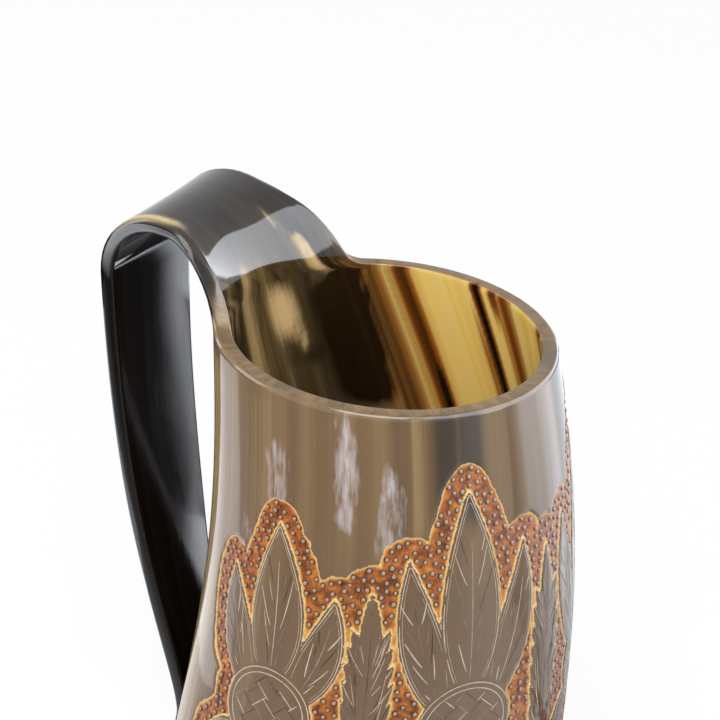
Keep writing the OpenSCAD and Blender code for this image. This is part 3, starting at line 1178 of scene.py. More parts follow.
@dataclass(frozen=True)
class EngravedLine:
    """Line scratched with a graver: pale raw horn, or dark, a colour that is stain settled in it
    together with painted shade of the groove, since the line itself stands a little above the wall.
    """

    pale: str = "#bfae98"
    # The dark tone is stain in the groove together with painted shade of the groove
    dark: str = "#3c2c1e"
    wear_mm: float = 3.0
    ior: float = HORN_IOR

    def material(self) -> Material:
        """Builds the material, which reads the paleness of each line.

        Returns:
            The finished material.
        """
        material, tree = finish_of("graver_line")
        grain = add(tree, "Attribute", attribute_name="grain").outputs["Vector"]
        pale = add(tree, "Attribute", attribute_name="paleness").outputs["Fac"]
        wear = add(tree, "TexNoise", {"Vector": grain, "Scale": 1 / self.wear_mm, "Detail": 3.0})
        worn = add(tree, "Math", {0: wear, 1: 0.8, 2: pale}, operation="MULTIPLY_ADD")
        share = add(tree, "MapRange", {"Value": worn, "From Min": 0.4, "From Max": 1.3})
        colour = add(tree, "Mix", {0: share, 6: self.dark, 7: self.pale}, data_type="RGBA")
        add(tree, "OutputMaterial", {"Surface": add(tree, "BsdfPrincipled", {
            "Base Color": colour, "Roughness": 0.5, "IOR": self.ior})})
        return material


@dataclass(frozen=True)
class WaxedWalnut:
    """Turned walnut, waxed: brown wood with growth lines across the disc and fine open pores."""

    rings: Ramp = ((0.15, "#3a2415"), (0.45, "#50341f"), (0.65, "#62432a"), (0.9, "#735335"))
    pore: str = "#22140b"
    ring_mm: float = 3.2
    pore_mm: tuple[float, float] = (0.25, 5.0)
    ior: float = 1.5

    def material(self) -> Material:
        """Builds the material, with the board's length along X and a slow warp of 25 mm.

        Returns:
            The finished material.
        """
        material, tree = finish_of("waxed_walnut")
        place = add(tree, "TexCoord").outputs["Object"]
        ring, wide, long = (1 / MM / size for size in (self.ring_mm, *self.pore_mm))
        ring_place, pore_place = (
            add(tree, "Mapping", {"Vector": place, "Scale": scale})
            for scale in ((0.05 * ring, ring, 0.4 * ring), (long, wide, wide)))
        warp = add(tree, "TexNoise", {"Vector": place, "Scale": 40.0, "Detail": 3.0})
        bands = add(tree, "TexWave", {
            "Vector": ring_place, "Scale": 0.11, "Distortion": 9.0, "Detail": 4.0,
            "Detail Scale": 0.35}, bands_direction="Y").outputs["Fac"]
        both = add(tree, "Math", {0: warp, 1: 0.5, 2: bands}, operation="MULTIPLY_ADD")
        wood = add(tree, "ValToRGB", {
            "Fac": add(tree, "MapRange", {"Value": both, "From Max": 1.5})}, self.rings)
        pores = add(tree, "TexNoise", {"Vector": pore_place, "Scale": 1.0, "Detail": 2.0})
        open_pores = add(tree, "MapRange", {"Value": pores, "From Min": 0.6, "From Max": 0.7})
        colour = add(tree, "Mix", {0: open_pores, 6: wood, 7: self.pore}, data_type="RGBA")
        rough = add(tree, "MapRange", {"Value": open_pores, "To Min": 0.36, "To Max": 0.6})
        bump = add(tree, "Bump", {"Height": open_pores, "Strength": -0.4, "Distance": 0.1 * MM})
        add(tree, "OutputMaterial", {"Surface": add(tree, "BsdfPrincipled", {
            "Base Color": colour, "Roughness": rough, "Normal": bump, "IOR": self.ior})})
        return material


@dataclass(frozen=True)
class PouredResin:
    """Dark epoxy poured round the disc: smooth, slightly wavy, almost black, brown where thin."""

    body: str = "#1c120a"
    thin: str = "#5a3413"
    ior: float = 1.55

    def material(self) -> Material:
        """Builds the material, with waves and thin spots about 8 mm apart.

        Returns:
            The finished material.
        """
        material, tree = finish_of("poured_resin")
        place = add(tree, "TexCoord").outputs["Object"]
        cloud = add(tree, "TexNoise", {"Vector": place, "Scale": 120.0, "Detail": 3.0})
        share = add(tree, "MapRange", {"Value": cloud, "From Min": 0.4, "From Max": 0.75})
        colour = add(tree, "Mix", {0: share, 6: self.body, 7: self.thin}, data_type="RGBA")
        bump = add(tree, "Bump", {"Height": cloud, "Strength": 0.3, "Distance": 0.15 * MM})
        add(tree, "OutputMaterial", {"Surface": add(tree, "BsdfPrincipled", {
            "Base Color": colour, "Roughness": 0.14, "Normal": bump, "IOR": self.ior})})
        return material


@dataclass(frozen=True)
class FiledBrass:
    """Brass rod, filed flush and polished by handling: warm metal with fine file marks."""

    clean: str = "#d8b266"
    tarnish: str = "#8a6430"

    def material(self) -> Material:
        """Builds the material, with tarnish in spots of 1.4 mm and file marks 0.17 mm wide.

        Returns:
            The finished material.
        """
        material, tree = finish_of("filed_brass")
        place = add(tree, "TexCoord").outputs["Object"]
        cloud = add(tree, "TexNoise", {"Vector": place, "Scale": 700.0, "Detail": 4.0})
        filed = add(tree, "Mapping", {"Vector": place, "Scale": (6000.0, 6000.0, 900.0)})
        marks = add(tree, "TexNoise", {"Vector": filed, "Scale": 1.0, "Detail": 2.0})
        share = add(tree, "MapRange", {"Value": cloud, "From Min": 0.45, "From Max": 0.7})
        colour = add(tree, "Mix", {0: share, 6: self.clean, 7: self.tarnish}, data_type="RGBA")
        rough = add(tree, "MapRange", {"Value": marks, "To Min": 0.2, "To Max": 0.45})
        bump = add(tree, "Bump", {"Height": marks, "Strength": 0.25, "Distance": 0.03 * MM})
        add(tree, "OutputMaterial", {"Surface": add(tree, "BsdfPrincipled", {
            "Base Color": colour, "Roughness": rough, "Normal": bump, "Metallic": 1.0})})
        return material


@dataclass(frozen=True)
class BentHorn:
    """The cup and its handle strip, one sheet of horn, with the carving cut into its front.

    Attributes:
        shape: Sizes and curves of the horn.
        frieze: The carving.
        streaks: The streaks and patches of the horn's colour.
        root_columns: Mesh columns across the strip's root.
        carved_columns: Mesh columns over the carved front.
        plain_columns: Mesh columns on each side between carving and strip.
        wall_rows: Rows of the outside.
        lining_rows: Rows of the inside.
        strip_rows: Rows of the strip.
        corner_rows: Rows of each rounded end of the strip.
        bevel_deg: Turns of the rows in the bevel of the base.
        edge_deg: Turns of the rows in the outer and in the inner rounding of the sheet's edge.
        handle_rounding: Depth of the rounding of the handle's two corners, softened by the hand.
        scraped: How far the carved front is scraped down.
        twist: Turn of the fibres round the outside and the inside, in degrees a millimetre.
        fibre_z: Height at which the fibres have the bearing that a streak states.
        fibre_end: Height, counted on along the strip, above which the fibres run straight.
        smoking: How the inner face darkens beyond the mouth: share, start and length of each step.
        bead_rings: Reach and height of each ring of a bead, as shares.
        bead_sides: Corners of each ring of a bead.
        bead_root: How far above the ground's floor a bead starts.
        line_lift: How far an engraved line's edge and its middle stand above the wall.
        seed: Seed of the small irregularities.
    """

    shape: HornShape = HornShape()
    frieze: CarvedFrieze = CarvedFrieze()
    streaks: tuple[Streak, ...] = tuple(
        Streak(tone, face, *row) for (tone, face), rows in STREAKS.items() for row in rows)
    root_columns: int = 32
    carved_columns: int = 312
    plain_columns: int = 3
    wall_rows: int = 184
    lining_rows: int = 60
    strip_rows: int = 96
    corner_rows: int = 6
    bevel_deg: tuple[float, ...] = (0.0, 30.0, 60.0)
    edge_deg: tuple[tuple[float, ...], ...] = (
        (18.0, 36.0, 54.0, 72.0, 90.0), (0.0, 30.0, 60.0, 90.0))
    handle_rounding: float = 1.5
    scraped: float = 0.1
    twist: tuple[float, float] = (0.05, 0.4)
    fibre_z: float = 142.0
    fibre_end: float = 175.0
    smoking: tuple[tuple[float, float, float], ...] = (
        (0.5, 2.0, 8.0), (0.25, 8.0, 18.0), (0.25, 35.0, 30.0))
    bead_rings: tuple[tuple[float, float], ...] = (
        (1.0, 0.0), (0.82, 0.02), (0.68, 0.06), (0.58, 0.5), (0.4, 0.85), (0.16, 1.0))
    bead_sides: int = 10
    bead_root: float = 0.015
    line_lift: tuple[float, float] = (0.035, 0.012)
    seed: int = 1171

    def build(self, horn: PolishedHorn, bead: StainedBeadWithPaintedLight, line: EngravedLine) -> None:
        """Builds the horn, the beads of its ground and its engraved lines.

        Args:
            horn: Finish of the horn.
            bead: Finish of the beads.
            line: Finish of the engraved lines.
        """
        rng = np.random.default_rng(self.seed)
        body = self._body(horn.material())
        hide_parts("horn_body")
        for piece in (body, self._beads(bead.material(), rng),
                      self._engraving(line.material(), rng)):
            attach(piece, ROOT)
            log.info("%s: %d faces", piece.name, len(piece.data.polygons))

    def _bearings(self) -> Array:
        """Bearings of the mesh columns: across the strip's root, then round the front.

        Returns:
            Degrees from the front.
        """
        root, side = self.shape.root_angle, self.frieze.side_bearing + 1.5
        turns = (180 - root, 180 + root, 360 - side, 360 + side, 540 - root)
        counts = (self.root_columns, self.plain_columns, self.carved_columns, self.plain_columns)
        return np.concatenate([np.linspace(start, end, count + 1)[:-1]
                               for start, end, count in zip(turns, turns[1:], counts)])

    def _strip_steps(self) -> Array:
        """Distances of the strip's rows from its root, close together in its round corners.

        Returns:
            One distance for each row.
        """
        shape, rows = self.shape, self.corner_rows
        turn = np.pi / 2 * np.arange(1, rows + 1) / rows
        corner = shape.strip_length - shape.foot_corner
        middle = np.linspace(shape.root_fillet, corner, self.strip_rows - 2 * rows + 1)[1:]
        return np.concatenate([shape.root_fillet * (1 - np.cos(turn)), middle,
                               corner + shape.foot_corner * np.sin(turn)])

    def _body(self, material: Material) -> bpy.types.Object:
        """Builds the one closed mesh of cup and handle.

        Args:
            material: Finish of the horn.

        Returns:
            The new object.
        """
        shape, bearings, steps = self.shape, self._bearings(), self._strip_steps()
        root, mouth_z = self.root_columns + 1, shape.last_row_z(bearings)[None]
        z, lining_z = (low + (mouth_z - low) * np.linspace(0.0, 1.0, rows + 1)[:, None]
                       for low, rows in ((shape.base_bevel, self.wall_rows),
                                         (shape.disc_thickness, self.lining_rows)))
        signed = turn_between(bearings, 0.0)
        x = np.tile(self.frieze.x_of(signed), len(z))
        ground = self.frieze.ground(x, z.ravel()).reshape(z.shape)
        # The cut's wall is one millimetre wide, half of it on each side of the drawn edge
        sunk = self.skin(signed) + self.frieze.depth * ease(ground + 0.5)
        bevel, bevel_z = (shape.base_bevel * (1 - part(np.radians(self.bevel_deg)))[:, None]
                          for part in (np.sin, np.cos))
        outside = np.concatenate([shape.wall_point(bearings, bevel_z, bevel),
                                  shape.wall_point(bearings, z, sunk)])
        inside = np.concatenate([self._seat(bearings),
                                 shape.wall_point(bearings, lining_z, shape.wall_at(lining_z))])
        outer_strip, inner_strip = (shape.strip_point(steps, bearings[:root], face)
                                    for face in (Face.OUTSIDE, Face.INSIDE))

        blocks = (outside, outer_strip, inside, inner_strip)
        points = np.concatenate([block.reshape(-1, 3) for block in blocks])
        first = np.cumsum([0] + [block[..., 0].size for block in blocks])
        grids = [start + np.arange(block[..., 0].size).reshape(block.shape[:2])
                 for start, block in zip(first, blocks)]
        outer_edge, inner_edge = (self._edge(grids[i], grids[i + 1]) for i in (0, 2))
        section = self._edge_points(points[outer_edge], points[inner_edge])
        edge_grid = len(points) + np.arange(section[..., 0].size).reshape(section.shape[:2])
        edge_grid = np.concatenate([outer_edge[:, None], edge_grid, inner_edge[:, None]], axis=1)
        points = np.concatenate([points, section.reshape(-1, 3)])

        walls = [np.concatenate([grids[i], grids[i][:, :1]], axis=1) for i in (0, 2)]
        strips = [np.concatenate([grids[i][-1:, :root], grids[i + 1]]) for i in (0, 2)]
        faces = [face for grid in (
            walls[0], strips[0], walls[1][:, ::-1], strips[1][:, ::-1],
            np.concatenate([edge_grid, edge_grid[:1]]), np.stack([walls[1][0], walls[0][0]]))
            for face in cells(grid)]

        heights = (np.concatenate([bevel_z + 0 * signed, z]), lining_z)
        named = self._tones(bearings, steps, heights, section.shape[:2], outer_edge)
        named["ground"] = np.full(len(points), -5.0)
        start = len(self.bevel_deg) * len(bearings)
        named["ground"][start:start + ground.size] = ground.ravel()
        return make_object("horn_cup", points, faces, material, named)

    def _seat(self, bearings: Array) -> Array:
        """Two rows of the straight seat that the disc is let into.

        Args:
            bearings: Bearings of the columns.

        Returns:
            x, y, z for each row and column.
        """
        shape, turn = self.shape, np.radians(bearings)
        x = float(shape.axis_x(shape.disc_thickness)) / 2
        r = shape.base_d / 2 - shape.base_wall + x + shape.seat_bite
        row = np.stack([x + r * np.cos(turn), r * np.sin(turn), 0 * turn], -1)
        return np.stack([row, row + np.array([0.0, 0.0, shape.disc_thickness])])

    def skin(self, bearing: Array) -> Array:
        """How far the front is scraped down, which fades out over 8 mm beside the carving."""
        return self.scraped * ease((self.frieze.side_bearing - np.abs(bearing)) / 8)

    def _edge(self, wall: Array, strip: Array) -> Array:
        """Vertex numbers of the sheet's free edge, round the mouth, then round the strip."""
        return np.concatenate([wall[-1, self.root_columns:], wall[-1, :1], strip[:, 0],
                               strip[-1, 1:-1], strip[::-1, -1]])

    def _edge_points(self, outer: Array, inner: Array) -> Array:
        """Places the rounded edge between the two faces.

        Args:
            outer: Edge points of the outside, in order.
            inner: Edge points of the inside.

        Returns:
            The points of each section, one row an edge point.
        """
        r, e = self.shape.edge_round, self.shape.edge_ease
        wall = np.linalg.norm(inner - outer, axis=1)[:, None]
        through = (inner - outer) / wall
        middle = (inner + outer) / 2
        along = np.roll(middle, -1, axis=0) - np.roll(middle, 1, axis=0)
        away = np.cross(along, through)
        away = away / np.linalg.norm(away, axis=1, keepdims=True)
        bent = ease((self.shape.mouth_wall / 2 - (middle[:, :1] - self.shape.root[0])) / 9)
        outer_depth, inner_depth = (size + (self.handle_rounding - size) * bent for size in (r, e))
        inner_out = e + (r - e) * bent
        rounding, easing = (np.radians(turns) for turns in self.edge_deg)
        out = np.concatenate([r * np.sin(rounding) + 0 * wall,
                              r - inner_out * (1 - np.cos(easing))], axis=1)
        depth = np.concatenate([outer_depth * (1 - np.cos(rounding)),
                                wall - inner_depth * (1 - np.sin(easing))], axis=1)
        return (outer[:, None] + away[:, None] * out[:, :, None]
                + through[:, None] * depth[:, :, None])

    def _tones(self, bearings: Array, steps: Array, heights: tuple[Array, Array],
               section: tuple[int, int], outer_edge: Array) -> dict[str, Array]:
        """Gives each vertex its place along the fibres and its share of each tone.

        Args:
            bearings: Bearings of the columns.
            steps: Distances of the strip's rows.
            heights: Heights of the outside's and of the lining's rows.
            section: Rows and columns of the rounded edge's block of points.
            outer_edge: Vertex numbers of the outside's edge.

        Returns:
            Values of each attribute.
        """
        root = self.root_columns + 1
        strip_z = self.shape.last_row_z(bearings)[None, :root] + steps[:, None]
        seat_z = np.array([0.0, self.shape.disc_thickness])[:, None] + 0 * bearings
        blocks = (heights[0], strip_z, np.concatenate([seat_z, heights[1]]), strip_z)
        along = np.concatenate([block.ravel() for block in blocks])
        bearing = np.concatenate([
            np.tile(bearings[:block.shape[1]], len(block)) for block in blocks])
        inside = np.repeat([0.0, 0.0, 1.0, 1.0], [block.size for block in blocks])
        through = np.tile(np.linspace(0.0, 1.0, section[1]), section[0])
        along, bearing = (np.concatenate([values, np.repeat(values[outer_edge], section[1])])
                          for values in (along, bearing))
        inside = np.concatenate([inside, through])
        beyond = np.maximum(0.0, along - self.shape.last_row_z(bearing))

        turned = (1 - inside) * self.twist[0] + inside * self.twist[1]
        drawn = bearing - turned * (np.minimum(along, self.fibre_end) - self.fibre_z)
        named = {"grain": self._grain(drawn, along + inside * self.shape.mouth_wall)}
        for tone in Tone:
            named[tone.value] = np.zeros(len(along))
            for streak in (streak for streak in self.streaks if streak.tone is tone):
                on_face = inside if streak.face is Face.INSIDE else 1 - inside
                share = streak.at(drawn, along) * on_face
                named[tone.value] = np.maximum(named[tone.value], share)
        inner = sum(share * ease((beyond - start) / length)
                    for share, start, length in self.smoking)
        bent = np.where(inside > 0.5, inner, ease(beyond / 6))
        unpaled = 1 - 0.75 * np.minimum(1.0, named["pale"])
        named["dark"] = np.maximum(named["dark"], bent) * unpaled
        named["smoke"] = np.maximum(named["smoke"], inside * ease(beyond / 5))
        named["amber"] = inside * (1 - ease((named["smoke"] - 0.1) / 0.5)) * (1 - ease(beyond / 8))
        named["inside"], named["sawn"] = inside.copy(), np.zeros(len(along))

        # The sheet's edge: sawn flat round the mouth, worn smooth in front, chipped along its rim
        edge = slice(-len(through), None)
        on_rim = beyond[edge] < 1
        far = np.exp(-(turn_between(bearing[edge], 85.0) / 48.0) ** 4)
        flat = ease((through - 0.2) / 0.2) * ease((1 - 0.42 * far - through) / 0.1)
        worn = 1 - 0.8 * np.exp(-(turn_between(bearing[edge], 22.0) / 14.0) ** 2) * on_rim
        chipped = 0.75 * (np.exp(-((through - 0.1) / 0.12) ** 2) * on_rim)
        named["sawn"][edge] = flat * worn * (1 - ease((beyond[edge] - 1) / 9))
        named["inside"][edge] = ease((through - 0.7) / 0.3)
        named["frost"][edge] = np.maximum(named["frost"][edge], chipped)
        return named

    def _grain(self, drawn: Array, along: Array) -> Array:
        """Place in the grain, in millimetres, of bearings drawn along the fibres and of heights."""
        turn, r = np.radians(drawn), self.frieze.unroll_r
        return np.stack([r * np.cos(turn), r * np.sin(turn), along], -1)

    def _on_wall(self, x: Array, z: Array, lift: Array) -> tuple[Array, Array]:
        """Puts points of the unrolled wall back on the cup.

        Args:
            x: Places along the frieze.
            z: Heights.
            lift: How far the points stand out from the uncut wall.

        Returns:
            The points, and their places in the grain.
        """
        bearing = np.degrees(x / self.frieze.unroll_r)
        points = self.shape.wall_point(bearing, z, self.skin(bearing) - lift)
        return points, self._grain(bearing - self.twist[0] * (z - self.fibre_z), z)

    def _beads(self, material: Material, rng: Rng) -> bpy.types.Object:
        """Builds all beads of the ground as one piece.

        Args:
            material: Finish of the beads.
            rng: Seeded source of the small irregularities.

        Returns:
            The new object.
        """
        frieze = self.frieze
        places = frieze.bead_places(rng)
        reach, rise = (column[None, :, None] for column in np.array(self.bead_rings).T)
        turns = np.linspace(0, 2 * np.pi, self.bead_sides + 1)[:-1]
        size = (rng.uniform(0.86, 1.1, len(places)) * frieze.bead_r)[:, None, None]
        height = (frieze.bead_height * rng.uniform(0.8, 1.1, len(places)))[:, None, None]
        x, z = (places[:, None, None, i] + size * reach * part(turns)
                for i, part in enumerate((np.cos, np.sin)))
        lift = self.bead_root - frieze.depth + height * rise + 0 * x
        points, grain = self._on_wall(x.ravel(), z.ravel(), lift.ravel())
        grid = np.arange(x.size).reshape(x.shape)
        faces = cells(np.concatenate([grid, grid[:, :, :1]], axis=2))
        faces += [tuple(crown) for crown in grid[:, -1].tolist()]
        return make_object("ground_beads", points, faces, material,
                           {"grain": grain, "reach": (reach + 0 * x).ravel()})

    def _engraving(self, material: Material, rng: Rng) -> bpy.types.Object:
        """Builds all engraved lines as one piece of narrow, dished ribbons.

        Args:
            material: Finish of the lines.
            rng: Seeded source of the small irregularities.

        Returns:
            The new object.
        """
        ribbons, tones, faces, total = [], [], [], 0
        for points, width, paleness in self.frieze.lines(rng):
            run = np.gradient(points, axis=0)
            run = run / np.maximum(1e-9, np.linalg.norm(run, axis=1, keepdims=True))
            closed = np.allclose(points[0], points[-1])
            taper = 1.0 if closed else np.sin(np.pi * np.linspace(0.06, 0.94, len(points))) ** 0.4
            half = (width / 2 * taper * (1 + 0.25 * rng.uniform(-1, 1, len(points))))[:, None]
            side = np.stack([-run[:, 1], run[:, 0]], -1) * half
            ribbons.append(np.stack([points - side, points, points + side], 1).reshape(-1, 2))
            tones.append(np.full(3 * len(points), paleness))
            faces += cells(total + np.arange(3 * len(points)).reshape(-1, 3))
            total += 3 * len(points)
        x, z = np.concatenate(ribbons).T
        edge, middle = self.line_lift
        points, grain = self._on_wall(x, z, np.tile([edge, middle, edge], total // 3))
        return make_object("engraved_lines", points, faces, material,
                           {"grain": grain, "paleness": np.concatenate(tones)})


@dataclass(frozen=True)
class CupFoot:
    """What closes and pins the wide end: the CAD's own disc, bead, pins and pegs, dressed."""

    finishes: tuple[tuple[str, str, WaxedWalnut | PouredResin | FiledBrass], ...] = (
        ("base_disc", "wood", WaxedWalnut()),
        ("base_bead", "resin", PouredResin()),
        ("handle_pins", "pin_brass", FiledBrass()),
        ("base_pegs", "pin_brass", FiledBrass()),
    )

    def dress(self) -> None:
        """Gives each CAD node its finish."""
        for name, slot_name, finish in self.finishes:
            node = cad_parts[name]
            node.data.materials.clear()
            node.data.materials.append(finish.material())
            log.info("%s: %s", name, node.data.materials[0].name)


@dataclass(frozen=True)
class Softbox:
    """A studio lamp with a rectangular front.

    Attributes:
        name: Name of the lamp.
        place: Where it hangs, in millimetres.
        aim: The point that it faces, in millimetres.
        size: Width and height of its front, in millimetres.
        power: Watts.
    """

    name: str
    place: tuple[float, float, float]
    aim: tuple[float, float, float]
    size: tuple[float, float]
    power: float

    def build(self) -> None:
        """Hangs the lamp."""
        lamp = bpy.data.lights.new(self.name, "AREA")
        lamp.shape = "RECTANGLE"
        lamp.size, lamp.size_y = self.size[0] * MM, self.size[1] * MM
        lamp.energy = self.power
        made = put_in_scene(self.name, lamp)
        made.location = Vector(self.place) * MM
        made.rotation_mode = "QUATERNION"
        made.rotation_quaternion = (Vector(self.aim) - Vector(self.place)).to_track_quat("-Z", "Y")
        made.visible_camera = False


@dataclass(frozen=True)
class Card:
    """A flat card that only reflections see: a bright panel, or a dark flag that keeps white off.

    Attributes:
        name: Name of the card.
        axis: The axis that it stands square to.
        level: Where it stands on that axis, in millimetres.
        rungs: Lines across it in order, each by its two ends. An end has its places on the other
            two axes, in millimetres, and its brightness, where 1 is white.
        colour: Colour of its light, that of a slightly cool sky.
    """

    name: str
    axis: Axis
    level: float
    rungs: tuple[tuple[float, float, float, float, float, float], ...]
    colour: str = "#f2f7ff"

    def build(self) -> None:
        """Sets the card up."""
        mesh = bpy.data.meshes.new(self.name)
        ends = [rung[i:i + 3] for rung in self.rungs for i in (0, 3)]
        at = self.axis.value
        places = [(*end[:at], self.level, *end[at:2]) for end in ends]
        mesh.from_pydata([Vector(place) * MM for place in places], [],
                         [(i, i + 1, i + 3, i + 2) for i in range(0, len(ends) - 2, 2)])
        layer = mesh.attributes.new("brightness", "FLOAT", "POINT")
        layer.data.foreach_set("value", [end[2] for end in ends])
        material, tree = finish_of(self.name)
        bright = add(tree, "Attribute", attribute_name="brightness").outputs["Fac"]
        glow = add(tree, "Emission", {"Color": self.colour, "Strength": bright})
        add(tree, "OutputMaterial", {"Surface": glow})
        mesh.materials.append(material)
        card = put_in_scene(self.name, mesh)
        for ray in ("camera", "diffuse", "transmission", "volume_scatter", "shadow"):
            setattr(card, f"visible_{ray}", False)


@dataclass(frozen=True)
class Studio:
    """Pale floor, soft lamps, white surroundings and the camera of the photograph.

    Attributes:
        floor_colour: Colour of the paper on the floor.
        floor_size: Width of the floor, in millimetres.
        floor_glow: Share of white that the floor shows where it is seen, the rest being its shade.
        room: Strength of the fill that the surroundings give.
        lamps: The soft lamps.
        cards: The cards that shape the gloss.
        aim: Point at the middle of the view, in millimetres.
        azimuth: Bearing of the camera, in degrees from -Y towards +X.
        elevation: Its height above the horizon, in degrees.
        roll: Its tilt, in degrees.
        distance: From the aim, in millimetres.
        focal_px: Focal length, in pixels of the picture.
        centre_px: Where the lens's axis, and so the aim, comes out in the picture.
        picture_px: Width and height of the picture.
        sensor_mm: Width of the sensor.
        clip_m: Nearest and furthest distance that it sees, in metres.
    """

    floor_colour: str = "#f2f2f2"
    floor_size: float = 6000.0
    floor_glow: float = 0.9
    room: float = 0.55
    lamps: tuple[Softbox, ...] = (
        Softbox("front_softbox", (350.0, -600.0, 1000.0), (0.0, 0.0, 100.0), (700.0, 700.0), 10.5),
        Softbox("side_softbox", (-900.0, -500.0, 500.0), (0.0, 0.0, 100.0), (500.0, 700.0), 4.0),
    )
    cards: tuple[Card, ...] = (
        Card("window_panel", Axis.X, 500, (
            (-260, 400, 5.7, -260, 1100, 5.7), (-20, 180, 5.7, -20, 1100, 5.7),
            (60, 80, 5.7, 540, 1100, 5.7), (200, 70, 5.7, 700, 820, 5.7),
            (300, 0, 5.7, 900, 850, 5.7), (600, -200, 5.7, 1650, 1230, 5.7),
            (8000, -500, 5.7, 8000, 3000, 5.7))),
        Card("far_panel", Axis.Y, 7900, (
            (500, -900, 5.7, 500, 3000, 5.7), (-1500, -900, 5.7, -1500, 1800, 5.7))),
        Card("flank_panel", Axis.Y, 70, tuple((x, 0, low, x, 128, high) for x, low, high in (
            (30, 0.4, 2.1), (62, 0.5, 2.4), (74, 1.0, 4.2), (96, 0.9, 3.8), (106, 0.6, 3.0),
            (126, 0.8, 3.8), (150, 0.8, 3.6), (172, 0.4, 1.6), (230, 0.3, 0.6)))),
        Card("handle_panel", Axis.Y, 180, (
            (-120, 110, 3.2, -30, 110, 3.2), (-120, 66, 3.2, -4, 66, 3.2),
            (-20, 60, 3.2, 2, 60, 3.2))),
        Card("handle_fade", Axis.Y, 180, (
            (-30, 110, 3.2, 4, 110, 0), (0, 62, 3.2, 24, 62, 0), (7, 50, 3.5, 32, 50, 0),
            (23, 35, 5.0, 43, 35, 0), (80, 0, 5.5, 95, 0, 0))),
        Card("handle_flag", Axis.Y, 182, (
            (-250, 0, 0.2, 160, 0, 0), (-250, 66, 0.2, 160, 66, 0), (10, 110, 0, 160, 110, 0))),
        Card("low_panel", Axis.Z, 3, ((20, 182, 5.0, 80, 182, 5.0), (20, 96, 2.6, 50, 96, 2.6))),
        Card("low_fade", Axis.Z, 3, ((80, 182, 5.0, 96, 182, 0), (50, 96, 2.6, 70, 96, 0))),
        Card("low_flag", Axis.Z, 1, ((-250, 60, 0.5, 133, 60, 0), (-250, 182, 0.5, 133, 182, 0))),
        Card("arch_panel", Axis.Y, -26, tuple((x, 154, glow, x, 165, glow) for x, glow in (
            (-92, 5.0), (-62, 4.8), (-54, 2.4), (-46, 1.4)))),
        Card("arch_fade", Axis.Y, -26, tuple((x, 144, 0, x, 154, glow) for x, glow in (
            (-92, 5.0), (-62, 4.8), (-54, 2.4), (-46, 1.4)))),
        Card("left_flag", Axis.X, -200, ((-400, 74, 0, -400, 150, 0), (100, 74, 0, 100, 150, 0))),
        Card("left_panel", Axis.Z, 2, (
            (-420, 90, 1.4, -130, 90, 1.65), (-420, -90, 1.4, -130, -90, 1.65))),
        Card("front_fade", Axis.Z, 1, (
            (-700, 60, 1.0, 900, -60, 1.0), (-700, -200, 0.1, 900, -240, 0.15),
            (-700, -1300, 0.1, 900, -1300, 0.15))),
    )
    aim: tuple[float, float, float] = (8.8, 0.0, 146.0)
    azimuth: float = 33.73
    elevation: float = 24.85
    roll: float = 1.06
    distance: float = 789.8
    focal_px: float = 3078.9
    centre_px: tuple[float, float] = (391.5, 334.2)
    picture_px: float = 720.0
    sensor_mm: float = 36.0
    clip_m: tuple[float, float] = (0.05, 20.0)

    def build(self) -> None:
        """Builds floor, world, lamps, cards and camera."""
        self._floor()
        self._world()
        for thing in self.lamps + self.cards:
            thing.build()
        self._camera()

    def _seen(self, tree: Tree) -> Node:
        """Is 1 for rays from the camera, a mirror or a glass, and 0 for the light on surfaces.

        Args:
            tree: Tree that takes the nodes.

        Returns:
            The node whose value it is.
        """
        path = add(tree, "LightPath")
        seen = path.outputs["Is Camera Ray"]
        for ray in ("Is Glossy Ray", "Is Transmission Ray"):
            seen = add(tree, "Math", {0: seen, 1: path.outputs[ray]}, operation="MAXIMUM")
        return seen

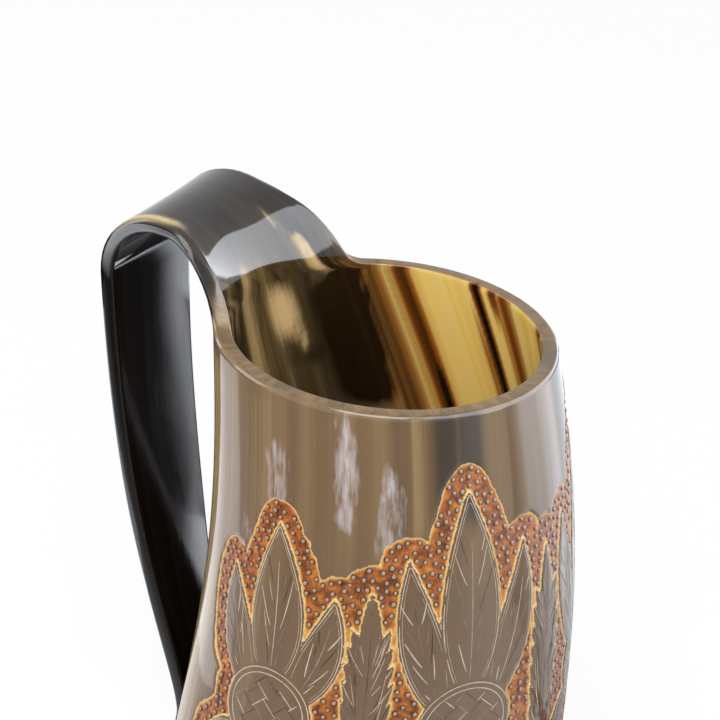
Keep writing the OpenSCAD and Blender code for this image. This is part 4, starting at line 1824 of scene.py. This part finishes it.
    def _floor(self) -> None:
        """Lays the floor, which is white to the camera but keeps the cup's shadow."""
        half = self.floor_size / 2 * MM
        mesh = bpy.data.meshes.new("studio_floor")
        corners = [(x * half, y * half, 0) for x, y in ((-1, -1), (1, -1), (1, 1), (-1, 1))]
        mesh.from_pydata(corners, [], [(0, 1, 2, 3)])
        material, tree = finish_of("white_paper")
        paper = add(tree, "BsdfPrincipled", {"Base Color": self.floor_colour, "Roughness": 0.9})
        glow = add(tree, "Emission", {"Color": WHITE, "Strength": 1.0})
        share = add(tree, "Math", {0: self._seen(tree), 1: self.floor_glow}, operation="MULTIPLY")
        add(tree, "OutputMaterial", {
            "Surface": add(tree, "MixShader", {0: share, 1: paper, 2: glow})})
        mesh.materials.append(material)
        put_in_scene("studio_floor", mesh)

    def _world(self) -> None:
        """Makes the surroundings white where they are seen, and a soft fill elsewhere."""
        world = bpy.data.worlds.new("studio_room")
        tree = bare_tree(world)
        fill, white = (add(tree, "Background", {"Color": WHITE, "Strength": strength})
                       for strength in (self.room, 1.0))
        add(tree, "OutputWorld", {
            "Surface": add(tree, "MixShader", {0: self._seen(tree), 1: fill, 2: white})})
        bpy.context.scene.world = world

    def _camera(self) -> None:
        """Sets the camera up where the photograph was taken from."""
        azimuth, elevation, roll = (
            math.radians(a) for a in (self.azimuth, self.elevation, self.roll))
        back = Vector((math.sin(azimuth) * math.cos(elevation),
                       -math.cos(azimuth) * math.cos(elevation), math.sin(elevation)))
        right = Vector((math.cos(azimuth), math.sin(azimuth), 0.0))
        up = back.cross(right)
        right, up = (math.cos(roll) * right + math.sin(roll) * up,
                     math.cos(roll) * up - math.sin(roll) * right)
        data = bpy.data.cameras.new("photo_camera")
        data.sensor_width = self.sensor_mm
        data.lens = self.focal_px / self.picture_px * self.sensor_mm
        data.shift_x = (self.picture_px / 2 - self.centre_px[0]) / self.picture_px
        data.shift_y = (self.centre_px[1] - self.picture_px / 2) / self.picture_px
        data.clip_start, data.clip_end = self.clip_m
        camera = put_in_scene("photo_camera", data)
        turned = Matrix((right, up, back)).transposed().to_4x4()
        place = (Vector(self.aim) + back * self.distance) * MM
        camera.matrix_world = Matrix.Translation(place) @ turned
        bpy.context.scene.camera = camera


def main() -> None:
    """Builds and dresses the cup, then sets up the studio."""
    logging.basicConfig(level=logging.INFO, format="%(name)s: %(message)s")
    BentHorn().build(PolishedHorn(), StainedBeadWithPaintedLight(), EngravedLine())
    CupFoot().dress()
    Studio().build()
    bpy.context.scene.view_settings.view_transform = "Standard"


if __name__ == "__main__":
    main()
